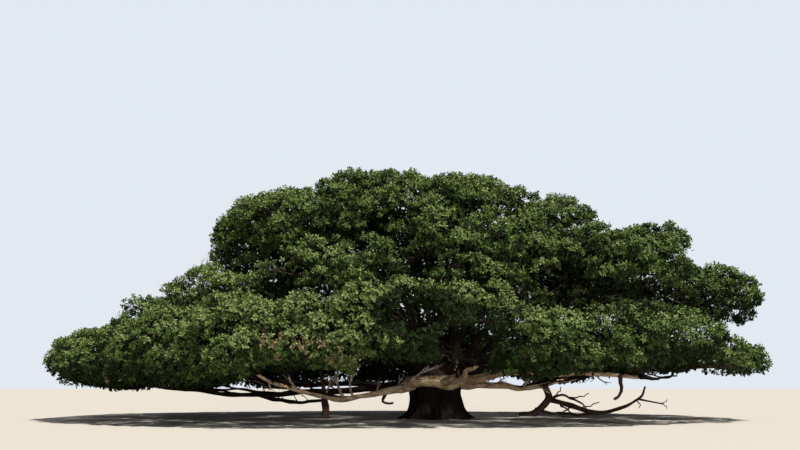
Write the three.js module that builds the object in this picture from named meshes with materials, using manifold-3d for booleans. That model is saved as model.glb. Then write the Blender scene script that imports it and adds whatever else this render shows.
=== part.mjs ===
// A great sycamore fig: a short fluted trunk, long boughs that sag near the ground, and a wide low crown of dense
// leaf masses in tiers. Millimetres, +Z up. The origin is the middle of the flat cut under the trunk, at ground level.
// X runs along the crown's long side. The sagging boughs and the propped one are on the -Y and -X sides.

import * as THREE from "three";
import { mergeVertices } from "three/addons/utils/BufferGeometryUtils.js";
import Module from "manifold-3d";

const wasm = await Module();
wasm.setup();

const TURN = 2 * Math.PI;
const DEGREE = Math.PI / 180;
const GOLDEN_ANGLE = Math.PI * (3 - Math.sqrt(5));
const UP = new THREE.Vector3(0, 0, 1);

// Clear gap between two pieces that meet face to face.
const FIT = 0.4;

// Trunk: heights and radii of its fluted column, from the ground to the head that the boughs fork from.
const TRUNK_HEIGHT = 2700;
const TRUNK_WAIST = 1340;
const TRUNK_FOOT = { flare: 330, rise: 420 };
const TRUNK_HEAD = { height: 2150, radius: 1520, depth: 550, closing: 0.4, lean: -320 };
const TRUNK_SIDES = 32;
const TRUNK_RINGS = 7;
const FLUTES = { count: 9, depth: 0.045 };
// Root flare: the buttress roots' bearings in degrees, how far each stands out at the ground, and how fast they rise.
const ROOTS = { bearings: [4, 58, 112, 171, 214, 262, 316], length: 560, width: 0.22, rise: 520 };

// Crown: the tiers of masses, each a ring on an ellipse round centreX. start is where the first mass lies, as a share
// of the way round from +X, lean is how much higher the ring is at +X than at its middle, and droop how much lower it
// is at both ends. reach is how far a mass extends along the ring, outwards, up and down. slim is how much shallower
// the masses become towards +X, and thin how much shallower those at the -X end are.
const TIERS = {
  skirt: {
    count: 14, start: 0.624, centreX: -2400, halfX: 16200, halfY: 9600,
    height: 3950, lean: 300, droop: 950, slim: 0.45, thin: 0.4,
    reach: { side: 5400, out: 3500, up: 2600, down: 1750 },
  },
  shoulder: {
    count: 10, start: 0, centreX: -1100, halfX: 13200, halfY: 7200,
    height: 6900, lean: 1750, droop: 350, slim: 0, thin: 0,
    reach: { side: 5600, out: 3700, up: 2700, down: 3300 },
  },
  upper: {
    count: 8, start: 0.03, centreX: -1600, halfX: 8200, halfY: 4900,
    height: 10100, lean: -450, droop: 800, slim: 0, thin: 0,
    reach: { side: 5200, out: 3400, up: 2500, down: 3600 },
  },
  top: {
    count: 4, start: 0.16, centreX: -1900, halfX: 3300, halfY: 2300,
    height: 11300, lean: -150, droop: 0, slim: 0, thin: 0,
    reach: { side: 4400, out: 3700, up: 2300, down: 2600 },
  },
  wing: {
    count: 2, start: 0.25, centreX: 14800, halfX: 500, halfY: 2100,
    height: 6400, lean: 0, droop: 0, slim: 0, thin: 0,
    reach: { side: 3800, out: 3000, up: 2100, down: 1900 },
  },
};
// How far a seeded scatter moves each hub from its even place, along and across the ground, and in height.
const SCATTER = { level: 600, height: 450 };

// Boughs: two neighbouring masses share one. root is where its line starts inside the trunk's head, rises and arrives
// are its slopes in degrees at the trunk and at its tip, inset and drop place the tip inside and below its two masses,
// and base and tip are its radii there.
const BOUGHS = {
  skirt: {
    root: { radius: 900, height: 2000 },
    rises: [-16, 2, 12, -5, 6, -2, -7], arrives: [25, 12, -4, 16, 8, 12, 8],
    inset: 1700, drop: 1150, base: 270, tip: 110,
  },
  shoulder: {
    root: { radius: 760, height: 2250 },
    rises: [42, 50, 46, 52, 44], arrives: [12, 10, 8, 10, 14],
    inset: 1500, drop: 1750, base: 340, tip: 120,
  },
  upper: {
    root: { radius: 420, height: 2350 },
    rises: [66, 60, 68, 62], arrives: [40, 46, 38, 44],
    inset: 1300, drop: 1450, base: 340, tip: 120,
  },
  top: {
    root: { radius: 180, height: 2400 },
    rises: [84, 80], arrives: [72, 76],
    inset: 300, drop: 1700, base: 320, tip: 120,
  },
  wing: {
    root: { radius: 700, height: 2300 },
    rises: [24], arrives: [18],
    inset: 300, drop: 1250, base: 300, tip: 120,
  },
};
// pull is how far the curve's handles reach as a share of its span, and sway how far it may swing sideways in degrees.
const BOUGH_PULL = 0.36;
const BOUGH_SWAY = 14;
const BOUGH_SIDES = 6;
const LIMB_RINGS = 6;
const COLLAR = { swell: 0.6, length: 900 };
const LIMB_MARKS = 40;

// The stem that props the long left bough: where along x it stands, how far its foot is set off, and its radii.
const PROP = { bough: 7, x: -6500, offset: 160, foot: 200, neck: 120, sides: 9 };
// The limb on the right that dips to the ground and rises again. x is where it leaves its bough. The points are set
// out along x and y from there, with their heights above the ground, and base, middle and tip are its radii.
const GROUND_LIMB = {
  bough: 4, x: 6700, foot: [-1500, 500, 0], root: [-700, 300, 160], elbow: [200, 200, 1000],
  landing: [3700, 900, 190], rising: [5900, 900, 1000], end: [6400, 900, 1750], twigEnd: [7500, 1000, 700],
  base: 260, middle: 150, tip: 55, sides: 6,
};

// Foliage: each mass has a stem, arms that fan out from its hub, leaf sprays round the end of each arm, and a core.
// Lowest and highest are how steeply arms rise, as sines, and outward is the arm that points away from the trunk.
// The shares are parts of the mass's reach. Of an arm's sprays one reaches nearly straight on, and one fans out.
const ARMS = { count: 7, lowest: -0.3, highest: 0.98, outward: 1, share: 0.64, start: 70, end: 35, sides: 3 };
const SPRAYS = { rootSpread: 0.12, tipSpreads: [0.25, 0.8], width: 0.5, thickness: 0.06 };
const CORE = { share: 0.76, unevenness: 0.1 };
const STEM = { start: 50, end: 90, sunk: 250, apart: 58, sides: 3 };
// The least room between a mass and the plane midway to its neighbour, and between a spray and a limb.
const CELL_MARGIN = 60;
const SPRAY_MARGIN = 30;
const LIMB_MARGIN = 120;

const bark = new THREE.MeshStandardMaterial({ color: 0x9c8467, roughness: 0.85, metalness: 0 });
const foliage = new THREE.MeshStandardMaterial({ color: 0x3f5426, roughness: 0.6, metalness: 0 });

// A number from 0 to 1 that looks random but is always the same for one n and seed.
function chance(n, seed) {
  const value = Math.sin(n * 12.9898 + seed * 78.233) * 43758.5453;
  return value - Math.floor(value);
}

// The same, spread evenly from -1 to 1.
function swing(n, seed) {
  return 2 * chance(n, seed) - 1;
}

function vector(x, y, z) {
  return new THREE.Vector3(x, y, z);
}

// A closed geometry as a solid that can be joined and cut.
function solidOf(geometry) {
  const bare = geometry.clone();
  bare.deleteAttribute("normal");
  bare.deleteAttribute("uv");
  const merged = mergeVertices(bare, 0.001);
  return new wasm.Manifold(
    new wasm.Mesh({
      numProp: 3,
      vertProperties: merged.attributes.position.array,
      triVerts: new Uint32Array(merged.index.array),
    }),
  );
}

function geometryOf(solid) {
  const mesh = solid.getMesh();
  const geometry = new THREE.BufferGeometry();
  geometry.setAttribute("position", new THREE.BufferAttribute(mesh.vertProperties, 3));
  geometry.setIndex(new THREE.BufferAttribute(mesh.triVerts, 1));
  geometry.computeVertexNormals();
  return geometry;
}

// The largest body of a solid, with its sealed hollows filled and its loose scraps dropped.
function largestBody(solid) {
  return solid.decompose().reduce((a, b) => (b.volume() > a.volume() ? b : a));
}

// Bearings at even steps along an ellipse, whose length is added up over many short chords.
function evenBearings({ halfX, halfY, count, start }) {
  const chords = 720;
  const lengths = [0];
  for (let i = 1; i <= chords; i++) {
    const middle = ((i - 0.5) / chords) * TURN;
    lengths.push(lengths[i - 1] + Math.hypot(halfX * Math.sin(middle), halfY * Math.cos(middle)));
  }
  return Array.from({ length: count }, (_, i) => {
    const wanted = ((start + i / count) % 1) * lengths[chords];
    const after = Math.max(1, lengths.findIndex((length) => length >= wanted));
    const share = (wanted - lengths[after - 1]) / (lengths[after] - lengths[after - 1]);
    return ((after - 1 + share) / chords) * TURN;
  });
}

// Every mass: its hub, and the way it faces along its ring and outwards.
function placeMasses() {
  const masses = [];
  for (const [tier, ring] of Object.entries(TIERS)) {
    evenBearings(ring).forEach((bearing, i) => {
      const seed = masses.length + 1;
      const east = Math.cos(bearing);
      const hub = vector(
        ring.centreX + ring.halfX * east + SCATTER.level * swing(1, seed),
        ring.halfY * Math.sin(bearing) + SCATTER.level * swing(2, seed),
        ring.height + ring.lean * east - ring.droop * east * east + SCATTER.height * swing(3, seed),
      );
      const out = vector(east / ring.halfX, Math.sin(bearing) / ring.halfY, 0).normalize();
      const side = vector(-out.y, out.x, 0);
      const depth = 1 - ring.slim * ((1 + east) / 2) ** 2 - ring.thin * ((1 - east) / 2) ** 8;
      const reach = { ...ring.reach, up: ring.reach.up * depth, down: ring.reach.down * depth };
      masses.push({ name: `${tier}_foliage_${i + 1}`, tier, seed, hub, out, side, reach });
    });
  }
  return masses;
}

// How far a mass extends from its hub in one direction: to a share of its own rounded form or to the plane midway
// to a neighbour's hub, whichever is nearer.
function reachOf(mass, direction, share = 1) {
  const along = direction.dot(mass.side) / mass.reach.side;
  const outwards = direction.dot(mass.out) / mass.reach.out;
  const upwards = direction.z / (direction.z < 0 ? mass.reach.down : mass.reach.up);
  let reach = share / Math.hypot(along, outwards, upwards);
  for (const other of masses) {
    if (other === mass) continue;
    const between = other.hub.clone().sub(mass.hub);
    const distance = between.length();
    const facing = between.dot(direction) / distance;
    if (facing > 0) reach = Math.min(reach, (distance / 2 - CELL_MARGIN) / facing);
  }
  return reach;
}

// The line of the bough that carries masses a and b: a cubic curve from the trunk's head to a tip inside and below
// the two, which leaves the trunk with a seeded sway.
function boughCurve(rule, a, b, index) {
  const apart = a.hub.clone().sub(b.hub).normalize();
  const inwards = a.out.clone().add(b.out).setLength(-rule.inset).addScaledVector(UP, -rule.drop);
  inwards.addScaledVector(apart, -inwards.dot(apart));
  const tip = a.hub.clone().add(b.hub).multiplyScalar(0.5).add(inwards);
  const bearing = Math.atan2(tip.y, tip.x);
  const { radius, height } = rule.root;
  const root = vector(radius * Math.cos(bearing), radius * Math.sin(bearing), height);
  const pull = BOUGH_PULL * root.distanceTo(tip);
  const slope = (degrees, way) =>
    vector(Math.cos(way) * Math.cos(degrees * DEGREE), Math.sin(way) * Math.cos(degrees * DEGREE),
      Math.sin(degrees * DEGREE));
  const sway = BOUGH_SWAY * DEGREE * swing(4, a.seed);
  const leaving = root.clone().addScaledVector(slope(rule.rises[index], bearing + sway), pull);
  const arriving = tip.clone().addScaledVector(slope(rule.arrives[index], bearing - sway), -pull);
  return new THREE.CubicBezierCurve3(root, leaving, arriving, tip);
}

// A limb along a curve: a capped cylinder whose rings are carried to the curve, square to it. radiusAt gives the
// radius from the share of the way along and the distance in millimetres, and grow makes it larger all round.
function limbGeometry(curve, radiusAt, sides, rings, grow = 0) {
  const length = curve.getLength();
  const chord = curve.getPoint(1).sub(curve.getPoint(0));
  const level = vector(-chord.y, chord.x, 0);
  if (level.length() < 1) level.set(1, 0, 0);
  level.normalize();
  const geometry = new THREE.CylinderGeometry(1, 1, 1, sides, rings);
  const position = geometry.attributes.position;
  for (let i = 0; i < position.count; i++) {
    const share = Math.min(1, Math.max(0, position.getY(i) + 0.5));
    const along = curve.getTangent(share).normalize();
    const across = level.clone().addScaledVector(along, -level.dot(along)).normalize();
    const square = across.clone().cross(along);
    const radius = radiusAt(share, share * length) + grow;
    const end = share === 0 ? -grow : share === 1 ? grow : 0;
    const point = curve.getPoint(share)
      .addScaledVector(across, position.getX(i) * radius)
      .addScaledVector(square, position.getZ(i) * radius)
      .addScaledVector(along, end);
    position.setXYZ(i, point.x, point.y, point.z);
  }
  return geometry;
}

// A radius that changes evenly along a limb.
function taper(start, end) {
  return (share) => start + (end - start) * share;
}

// A bough's radius: an even taper with a collar where it leaves the trunk.
function boughRadius({ base, tip }) {
  return (share, distance) =>
    (base + (tip - base) * share) * (1 + COLLAR.swell * Math.exp(-distance / COLLAR.length));
}

// The trunk's plain radius at a height: a flared foot, a waist, and a head that closes in above the fork.
function columnRadius(z) {
  const foot = TRUNK_FOOT.flare * Math.exp(-z / TRUNK_FOOT.rise);
  const head = (TRUNK_HEAD.radius - TRUNK_WAIST) * Math.exp(-(((z - TRUNK_HEAD.height) / TRUNK_HEAD.depth) ** 2));
  const above = Math.max(0, z - TRUNK_HEAD.height) / (TRUNK_HEIGHT - TRUNK_HEAD.height);
  return (TRUNK_WAIST + foot + head) * (1 - TRUNK_HEAD.closing * above ** 2);
}

// How far the buttress roots stand out at a bearing and a height.
function rootFlare(bearing, z) {
  let flare = 0;
  ROOTS.bearings.forEach((degrees, i) => {
    const away = Math.atan2(Math.sin(bearing - degrees * DEGREE), Math.cos(bearing - degrees * DEGREE));
    const length = ROOTS.length * (0.7 + 0.6 * chance(i, 5));
    flare += length * Math.exp(-((away / ROOTS.width) ** 2)) * Math.exp(-z / ROOTS.rise);
  });
  return flare;
}

// The trunk: a capped cylinder whose rings take the column's radius, its flutes and its roots.
function trunkGeometry(grow = 0) {
  const geometry = new THREE.CylinderGeometry(1, 1, 1, TRUNK_SIDES, TRUNK_RINGS);
  geometry.rotateX(Math.PI / 2);
  const position = geometry.attributes.position;
  for (let i = 0; i < position.count; i++) {
    const share = Math.min(1, Math.max(0, position.getZ(i) + 0.5));
    const z = share ** 1.25 * TRUNK_HEIGHT;
    const bearing = Math.atan2(position.getY(i), position.getX(i));
    const flutes = 1 + FLUTES.depth * Math.cos(FLUTES.count * bearing + 1.5 * Math.sin(2 * bearing));
    const radius = columnRadius(z) * flutes + rootFlare(bearing, z) + grow;
    const fromAxis = Math.hypot(position.getX(i), position.getY(i));
    position.setXYZ(i, fromAxis * radius * Math.cos(bearing) + (TRUNK_HEAD.lean * z) / TRUNK_HEIGHT,
      fromAxis * radius * Math.sin(bearing), z + (share === 1 ? grow : 0));
  }
  return geometry;
}

// Directions that fan out evenly over a dome, as parts of side, out and up. The outward arm points away from the
// trunk's axis.
function armDirection(mass, i) {
  const rise = ARMS.lowest + ((ARMS.highest - ARMS.lowest) * (i + 0.5)) / ARMS.count;
  const outward = Math.atan2(mass.hub.dot(mass.out), mass.hub.dot(mass.side));
  const round = outward + (i - ARMS.outward) * GOLDEN_ANGLE;
  const level = Math.sqrt(1 - rise * rise);
  return mass.side.clone().multiplyScalar(level * Math.cos(round))
    .addScaledVector(mass.out, level * Math.sin(round))
    .addScaledVector(UP, rise);
}

// A flat pointed blade of eight faces that stands for a spray of leaves, from its root to its tip, with its flat
// side turned outwards.
function sprayGeometry(root, tip, outwards) {
  const axis = tip.clone().sub(root);
  const length = axis.length();
  axis.normalize();
  const side = outwards.clone().cross(axis).normalize();
  const face = axis.clone().cross(side);
  const geometry = new THREE.OctahedronGeometry(1);
  geometry.scale(length / 2, (length * SPRAYS.width) / 2, (length * SPRAYS.thickness) / 2);
  geometry.applyMatrix4(new THREE.Matrix4().makeBasis(axis, side, face));
  const middle = root.clone().add(tip).multiplyScalar(0.5);
  geometry.translate(middle.x, middle.y, middle.z);
  return geometry;
}

// True where every corner of a spray keeps to its mass's own space and clear of every limb.
function isClear(spray, mass) {
  const position = spray.attributes.position;
  for (let i = 0; i < position.count; i++) {
    const corner = vector(position.getX(i), position.getY(i), position.getZ(i));
    for (const other of masses) {
      if (other === mass) continue;
      const between = other.hub.clone().sub(mass.hub);
      const distance = between.length();
      const ahead = corner.clone().sub(mass.hub).dot(between) / distance;
      if (ahead > distance / 2 - SPRAY_MARGIN) return false;
    }
    if (limbMarks.some(({ place, radius }) => place.distanceTo(corner) < radius + LIMB_MARGIN)) return false;
  }
  return true;
}

// The mass's core: a faceted ball drawn out to a share of the mass's reach, with a seeded unevenness.
function coreGeometry(mass) {
  const geometry = new THREE.IcosahedronGeometry(1, 1);
  const position = geometry.attributes.position;
  for (let i = 0; i < position.count; i++) {
    const direction = vector(position.getX(i), position.getY(i), position.getZ(i)).normalize();
    const wave = Math.sin(5 * direction.x + mass.seed) * Math.cos(4 * direction.y - mass.seed);
    const reach = reachOf(mass, direction, CORE.share * (1 + CORE.unevenness * wave));
    const point = mass.hub.clone().addScaledVector(direction, reach);
    position.setXYZ(i, point.x, point.y, point.z);
  }
  return geometry;
}

// The stem of a mass, from inside its bough's tip to its hub. The two stems of a bough run side by side.
function stemGeometry(mass) {
  const start = mass.bough.tip.clone()
    .addScaledVector(mass.bough.arriving, -STEM.sunk)
    .addScaledVector(mass.apart, STEM.apart);
  return limbGeometry(new THREE.LineCurve3(start, mass.hub), taper(STEM.start, STEM.end), STEM.sides, 1);
}

// One arm from the hub, and the sprays that fan out round its end, without those that would leave the mass's space.
function armGeometries(mass, i) {
  const aim = armDirection(mass, i);
  const end = mass.hub.clone().addScaledVector(aim, ARMS.share * reachOf(mass, aim));
  const arm = limbGeometry(new THREE.LineCurve3(mass.hub, end), taper(ARMS.start, ARMS.end), ARMS.sides, 1);
  const sideways = aim.clone().cross(mass.out).normalize();
  const across = aim.clone().cross(sideways);
  const sprays = SPRAYS.tipSpreads.map((tipSpread, j) => {
    const round = (j / SPRAYS.tipSpreads.length + chance(i + 10, mass.seed)) * TURN;
    const fanned = (spread) => aim.clone()
      .addScaledVector(sideways, spread * Math.cos(round))
      .addScaledVector(across, spread * Math.sin(round))
      .normalize();
    const [rootWay, tipWay] = [fanned(SPRAYS.rootSpread), fanned(tipSpread)];
    const root = mass.hub.clone().addScaledVector(rootWay, ARMS.share * reachOf(mass, rootWay));
    const tip = mass.hub.clone().addScaledVector(tipWay, reachOf(mass, tipWay));
    return sprayGeometry(root, tip, rootWay.clone().add(tipWay));
  });
  return [arm, ...sprays.filter((spray) => isClear(spray, mass))];
}

// One mass as a single solid, cut to fit the limbs.
function growMass(mass) {
  const pieces = [coreGeometry(mass), stemGeometry(mass)];
  for (let i = 0; i < ARMS.count; i++) pieces.push(...armGeometries(mass, i));
  const grown = wasm.Manifold.union(pieces.map(solidOf));
  return largestBody(limbs.reduce((solid, limb) => solid.subtract(limb.grown), grown));
}

// The point of a bough's line at one x.
function boughAt(bough, x) {
  return Array.from({ length: 201 }, (_, i) => bough.getPoint(i / 200))
    .reduce((a, b) => (Math.abs(b.x - x) < Math.abs(a.x - x) ? b : a));
}

// The prop under the left bough: a short rooted stem that leans as it rises, cut to fit the bough's underside.
function propCurve(bough) {
  const top = boughAt(bough, PROP.x);
  const foot = vector(top.x + PROP.offset, top.y, 0);
  return new THREE.QuadraticBezierCurve3(foot, vector(foot.x, foot.y, top.z / 2), top);
}

// The limb that dips to the ground on the right: a rooted foot that rises to its bough, a long stretch that touches
// down and rises, and a side branch. Its points are set out from the bough's place above it.
function groundLimbStretches(bough) {
  const top = boughAt(bough, GROUND_LIMB.x);
  const place = (name) => vector(top.x, top.y, 0).add(vector(...GROUND_LIMB[name]));
  const through = (names) => names.map(place);
  const { base, middle, tip } = GROUND_LIMB;
  return [
    {
      curve: new THREE.CatmullRomCurve3([...through(["foot", "root", "elbow"]), top]),
      radiusAt: taper(base, middle),
    },
    {
      curve: new THREE.CatmullRomCurve3(through(["elbow", "landing", "rising", "end"])),
      radiusAt: taper(middle, tip),
    },
    { curve: new THREE.CatmullRomCurve3(through(["rising", "twigEnd"])), radiusAt: taper(tip, tip) },
  ];
}

const tree = new THREE.Group();
const masses = placeMasses();
const limbs = [{ name: "trunk", solid: solidOf(trunkGeometry()), grown: solidOf(trunkGeometry(FIT)) }];
const limbMarks = [];

// Adds a limb, cut to fit the limbs before it, and marks points along it that sprays keep clear of.
function addLimb(name, stretches, sides) {
  const joined = (grow) => wasm.Manifold.union(
    stretches.map(({ curve, radiusAt }) => solidOf(limbGeometry(curve, radiusAt, sides, LIMB_RINGS, grow))));
  const cut = limbs.reduce((solid, other) => solid.subtract(other.grown), joined(0));
  limbs.push({ name, solid: largestBody(cut.trimByPlane([0, 0, 1], 0)), grown: joined(FIT) });
  for (const { curve, radiusAt } of stretches) {
    const length = curve.getLength();
    for (let i = 0; i <= LIMB_MARKS; i++) {
      const share = i / LIMB_MARKS;
      limbMarks.push({ place: curve.getPoint(share), radius: radiusAt(share, length * share) });
    }
  }
}

// The bough that carries masses a and b, which then know its tip and the way that their stems lie apart.
function addBough(name, rule, a, b, index) {
  const curve = boughCurve(rule, a, b, index);
  const apart = a.hub.clone().sub(b.hub).normalize();
  const bough = { curve, tip: curve.getPoint(1), arriving: curve.getTangent(1).normalize() };
  Object.assign(a, { bough, apart });
  Object.assign(b, { bough, apart: apart.clone().negate() });
  addLimb(name, [{ curve, radiusAt: boughRadius(rule) }], BOUGH_SIDES);
}

function addPiece(name, solid, material) {
  const mesh = new THREE.Mesh(geometryOf(solid), material);
  mesh.name = name;
  tree.add(mesh);
}

for (const [tier, rule] of Object.entries(BOUGHS)) {
  const ring = masses.filter((mass) => mass.tier === tier);
  for (let i = 0; 2 * i < ring.length; i++) {
    addBough(`${tier}_bough_${i + 1}`, rule, ring[2 * i], ring[2 * i + 1], i);
  }
}

const skirtMasses = masses.filter((mass) => mass.tier === "skirt");
const skirtBough = (number) => skirtMasses[2 * number - 1].bough.curve;
const prop = { curve: propCurve(skirtBough(PROP.bough)), radiusAt: taper(PROP.foot, PROP.neck) };
addLimb("left_prop_stem", [prop], PROP.sides);
addLimb("right_ground_limb", groundLimbStretches(skirtBough(GROUND_LIMB.bough)), GROUND_LIMB.sides);

for (const { name, solid } of limbs) addPiece(name, solid, bark);
for (const mass of masses) addPiece(mass.name, growMass(mass), foliage);

export default tree;
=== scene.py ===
"""A great sycamore fig: fluted trunk, long low boughs, and a wide dense crown of leaves. Metres, +Z up."""
import math

import bpy
import numpy as np
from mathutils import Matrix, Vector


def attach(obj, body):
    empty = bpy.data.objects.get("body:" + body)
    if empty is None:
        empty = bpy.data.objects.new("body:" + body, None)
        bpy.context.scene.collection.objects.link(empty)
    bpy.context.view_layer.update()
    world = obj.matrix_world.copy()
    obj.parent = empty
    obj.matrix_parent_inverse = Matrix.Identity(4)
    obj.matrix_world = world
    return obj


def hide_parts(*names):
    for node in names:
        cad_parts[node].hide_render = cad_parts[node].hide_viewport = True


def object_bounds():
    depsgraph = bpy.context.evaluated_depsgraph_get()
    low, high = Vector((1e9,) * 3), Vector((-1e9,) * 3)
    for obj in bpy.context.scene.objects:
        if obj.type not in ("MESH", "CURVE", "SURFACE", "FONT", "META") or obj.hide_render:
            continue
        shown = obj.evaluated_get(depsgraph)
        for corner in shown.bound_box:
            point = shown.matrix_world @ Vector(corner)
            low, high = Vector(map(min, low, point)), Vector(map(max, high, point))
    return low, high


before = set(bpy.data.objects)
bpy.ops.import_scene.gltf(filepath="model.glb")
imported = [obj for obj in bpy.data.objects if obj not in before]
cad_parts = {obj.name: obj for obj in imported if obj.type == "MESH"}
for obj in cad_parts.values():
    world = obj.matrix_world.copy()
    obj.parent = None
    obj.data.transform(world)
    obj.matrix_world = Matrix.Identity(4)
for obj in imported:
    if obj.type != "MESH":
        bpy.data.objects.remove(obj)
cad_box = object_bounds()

TURN = 2 * math.pi
GOLDEN_ANGLE = math.pi * (3 - math.sqrt(5))
UP = np.array([0.0, 0.0, 1.0])
EAST = np.array([1.0, 0.0, 0.0])
# A direction whose rise is beyond this counts as upright.
UPRIGHT = 0.9

# The crown's tiers of masses, as the solids have them: rings of hubs on ellipses.
TIERS = {
    "skirt": dict(count=14, start=0.624, centre_x=-2.4, half_x=16.2, half_y=9.6, height=3.95, lean=0.3,
                  droop=0.95, slim=0.45, thin=0.4, side=5.4, out=3.5, up=2.6, down=1.75),
    "shoulder": dict(count=10, start=0.0, centre_x=-1.1, half_x=13.2, half_y=7.2, height=6.9, lean=1.75,
                     droop=0.35, slim=0.0, thin=0.0, side=5.6, out=3.7, up=2.7, down=3.3),
    "upper": dict(count=8, start=0.03, centre_x=-1.6, half_x=8.2, half_y=4.9, height=10.1, lean=-0.45,
                  droop=0.8, slim=0.0, thin=0.0, side=5.2, out=3.4, up=2.5, down=3.6),
    "top": dict(count=4, start=0.16, centre_x=-1.9, half_x=3.3, half_y=2.3, height=11.3, lean=-0.15,
                droop=0.0, slim=0.0, thin=0.0, side=4.4, out=3.7, up=2.3, down=2.6),
    "wing": dict(count=2, start=0.25, centre_x=14.8, half_x=0.5, half_y=2.1, height=6.4, lean=0.0,
                 droop=0.0, slim=0.0, thin=0.0, side=3.8, out=3.0, up=2.1, down=1.9),
}
SCATTER_LEVEL = 0.6
SCATTER_HEIGHT = 0.45
CELL_MARGIN = 0.06
# A mass's arms fork this far inwards of its hub and below it.
FORK = (1.2, 0.3)

# Boughs: where their lines start inside the trunk's head, their slopes in degrees at the trunk and at
# their tips, how far inside and below its two masses a tip lies, and the radii.
BOUGHS = {
    "skirt": dict(radius=0.9, height=2.0, rises=(-16, 2, 12, -5, 6, -2, -7),
                  arrives=(25, 12, -4, 16, 8, 12, 8), inset=1.7, drop=1.15, base=0.27, tip=0.11),
    "shoulder": dict(radius=0.76, height=2.25, rises=(42, 50, 46, 52, 44), arrives=(12, 10, 8, 10, 14),
                     inset=1.5, drop=1.75, base=0.34, tip=0.12),
    "upper": dict(radius=0.42, height=2.35, rises=(66, 60, 68, 62), arrives=(40, 46, 38, 44),
                  inset=1.3, drop=1.45, base=0.34, tip=0.12),
    "top": dict(radius=0.18, height=2.4, rises=(84, 80), arrives=(72, 76),
                inset=0.3, drop=1.7, base=0.32, tip=0.12),
    "wing": dict(radius=0.7, height=2.3, rises=(24,), arrives=(18,),
                 inset=0.3, drop=1.25, base=0.3, tip=0.12),
}
BOUGH_PULL = 0.36
BOUGH_SWAY = math.radians(14)
COLLAR_SWELL = 0.6
COLLAR_LENGTH = 0.9

# The boughs whose bark is pale with painted sunlight, with the share of their solids' girth that each has
# here, and that of the rest, whose bark is dark with painted shade. Side limbs leave a bough from the first
# share of its length on.
SUNLIT_BOUGHS = {"skirt_bough_1": 0.66, "skirt_bough_2": 0.78, "skirt_bough_3": 0.82, "skirt_bough_4": 0.85}
SHADED_GIRTH = 0.72
SIDE_LIMBS = dict(count=5, first=0.42, step=0.12, girth=0.32, tip=0.035)
# Stems from a bough's tip to the forks of its masses: their radii, how far apart they start, how far they
# go on along the bough, and how far below the fork they bend up to it.
TIP_STEMS = dict(base=0.09, tip=0.05, apart=0.06, ahead=0.8, below=0.5)

# Relief of a limb, with heights as shares of its radius. A ridge has its waves round the limb, its twist a
# metre, how the seed turns it and its height. A swelling has its waves along the limb, how the seed shifts
# it and its height. Knots have their spacing, the fewest on a limb, their size and how it varies, and how
# far they reach along the limb and round it.
RIDGES = ((3, 0.9, 1.0, 0.055), (5, -1.4, 2.3, 0.04))
SWELLINGS = ((2.1, 1.7, 0.09), (5.3, 1.0, 0.05))
KNOTS = dict(apart=1.6, least=2, size=0.15, varied=0.3, along=0.22, round=0.7)
# How far the poles that close a limb's foot and tip stand out, as shares of the radius there.
FOOT_POLE = 0.3
TIP_POLE = 0.6
# The grain's coordinate: how much a metre along a limb counts against one across it, and the trunk's girth.
GRAIN_STRETCH = 0.22
TRUNK_GRAIN = 1.4

# The trunk's column, the heights between which painted sunlight on its bark comes in and goes out, its
# flutes, creases, ribs and hummocks, its buttress roots, and its grid.
TRUNK_HEIGHT = 2.7
TRUNK_WAIST = 1.34
TRUNK_FOOT = dict(flare=0.33, rise=0.42)
TRUNK_HEAD = dict(height=2.15, radius=1.52, depth=0.55, closing=0.4, lean=-0.32, pole=0.12)
TRUNK_SUNLIT = (1.74, 1.94, 2.15, 2.38)
TRUNK_GRID = dict(sides=320, rows=120, crowding=1.1)
FLUTES = dict(count=9, depth=0.045, uneven=1.5)
CREASES = dict(depth=0.05, width=0.45, twist=0.5)
RIBS = dict(coarse=0.012, fine=0.009)
HUMMOCKS = dict(height=0.10, start=1.2, growth=0.9)
ROOTS = dict(bearings=(4, 58, 112, 171, 214, 262, 316), length=0.56, width=0.22, rise=0.52)

# The stem that props the left bough, and the limb that dips to the ground on the right.
PROP = dict(bough=7, x=-6.5, offset=0.16, foot=0.2, neck=0.12)
GROUND_LIMB = dict(
    bough=4, x=6.7, foot=(-1.5, 0.5, 0.0), root=(-0.7, 0.3, 0.16), elbow=(0.2, 0.2, 1.0),
    landing=(3.7, 0.9, 0.19), rising=(5.9, 0.9, 1.0), end=(6.4, 0.9, 1.75), twig_end=(7.5, 1.0, 0.7),
    base=0.26, middle=0.17, tip=0.085,
)

# Dead twigs on the low boughs: the bough, the x where each starts, its way to its end, its radius, which
# is enlarged by their girth, and how often it forks. A stem tapers to a share of its radius. It bends aside
# by a share of its length, and its forks have shares of its length and radius and turn off by another.
DEAD_TWIGS = (
    (1, -1.75, (1.5, -0.5, 1.05), 0.060, 2), (1, -2.3, (0.35, -0.3, 0.75), 0.040, 1),
    (1, -2.9, (0.95, -0.1, 0.55), 0.050, 1), (1, -3.4, (0.1, -0.1, 0.7), 0.040, 1),
    (1, -4.6, (0.1, -0.2, 1.55), 0.055, 2), (1, -5.1, (-0.4, -0.2, 1.1), 0.075, 1),
    (1, -6.0, (0.3, -0.1, 0.8), 0.050, 1), (1, -7.2, (-0.5, -0.1, 0.7), 0.050, 2),
    (1, -8.6, (0.2, -0.1, -0.5), 0.035, 1), (2, 0.5, (0.4, -0.3, 0.6), 0.045, 1),
    (2, 0.9, (-0.3, -0.5, 0.8), 0.045, 1), (3, 2.4, (0.3, -0.2, 0.7), 0.045, 1),
    (3, 4.2, (-0.3, -0.2, 0.55), 0.045, 1), (3, 6.6, (0.4, -0.2, 0.6), 0.045, 1),
    (3, 8.3, (0.5, -0.2, -0.45), 0.045, 1), (4, 3.4, (0.7, -0.3, 0.5), 0.050, 1),
    (4, 5.3, (0.35, -0.3, 0.5), 0.090, 1), (4, 5.8, (-0.35, -0.2, 0.45), 0.090, 1),
    (4, 6.2, (0.5, -0.3, -0.35), 0.070, 1),
)
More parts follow.
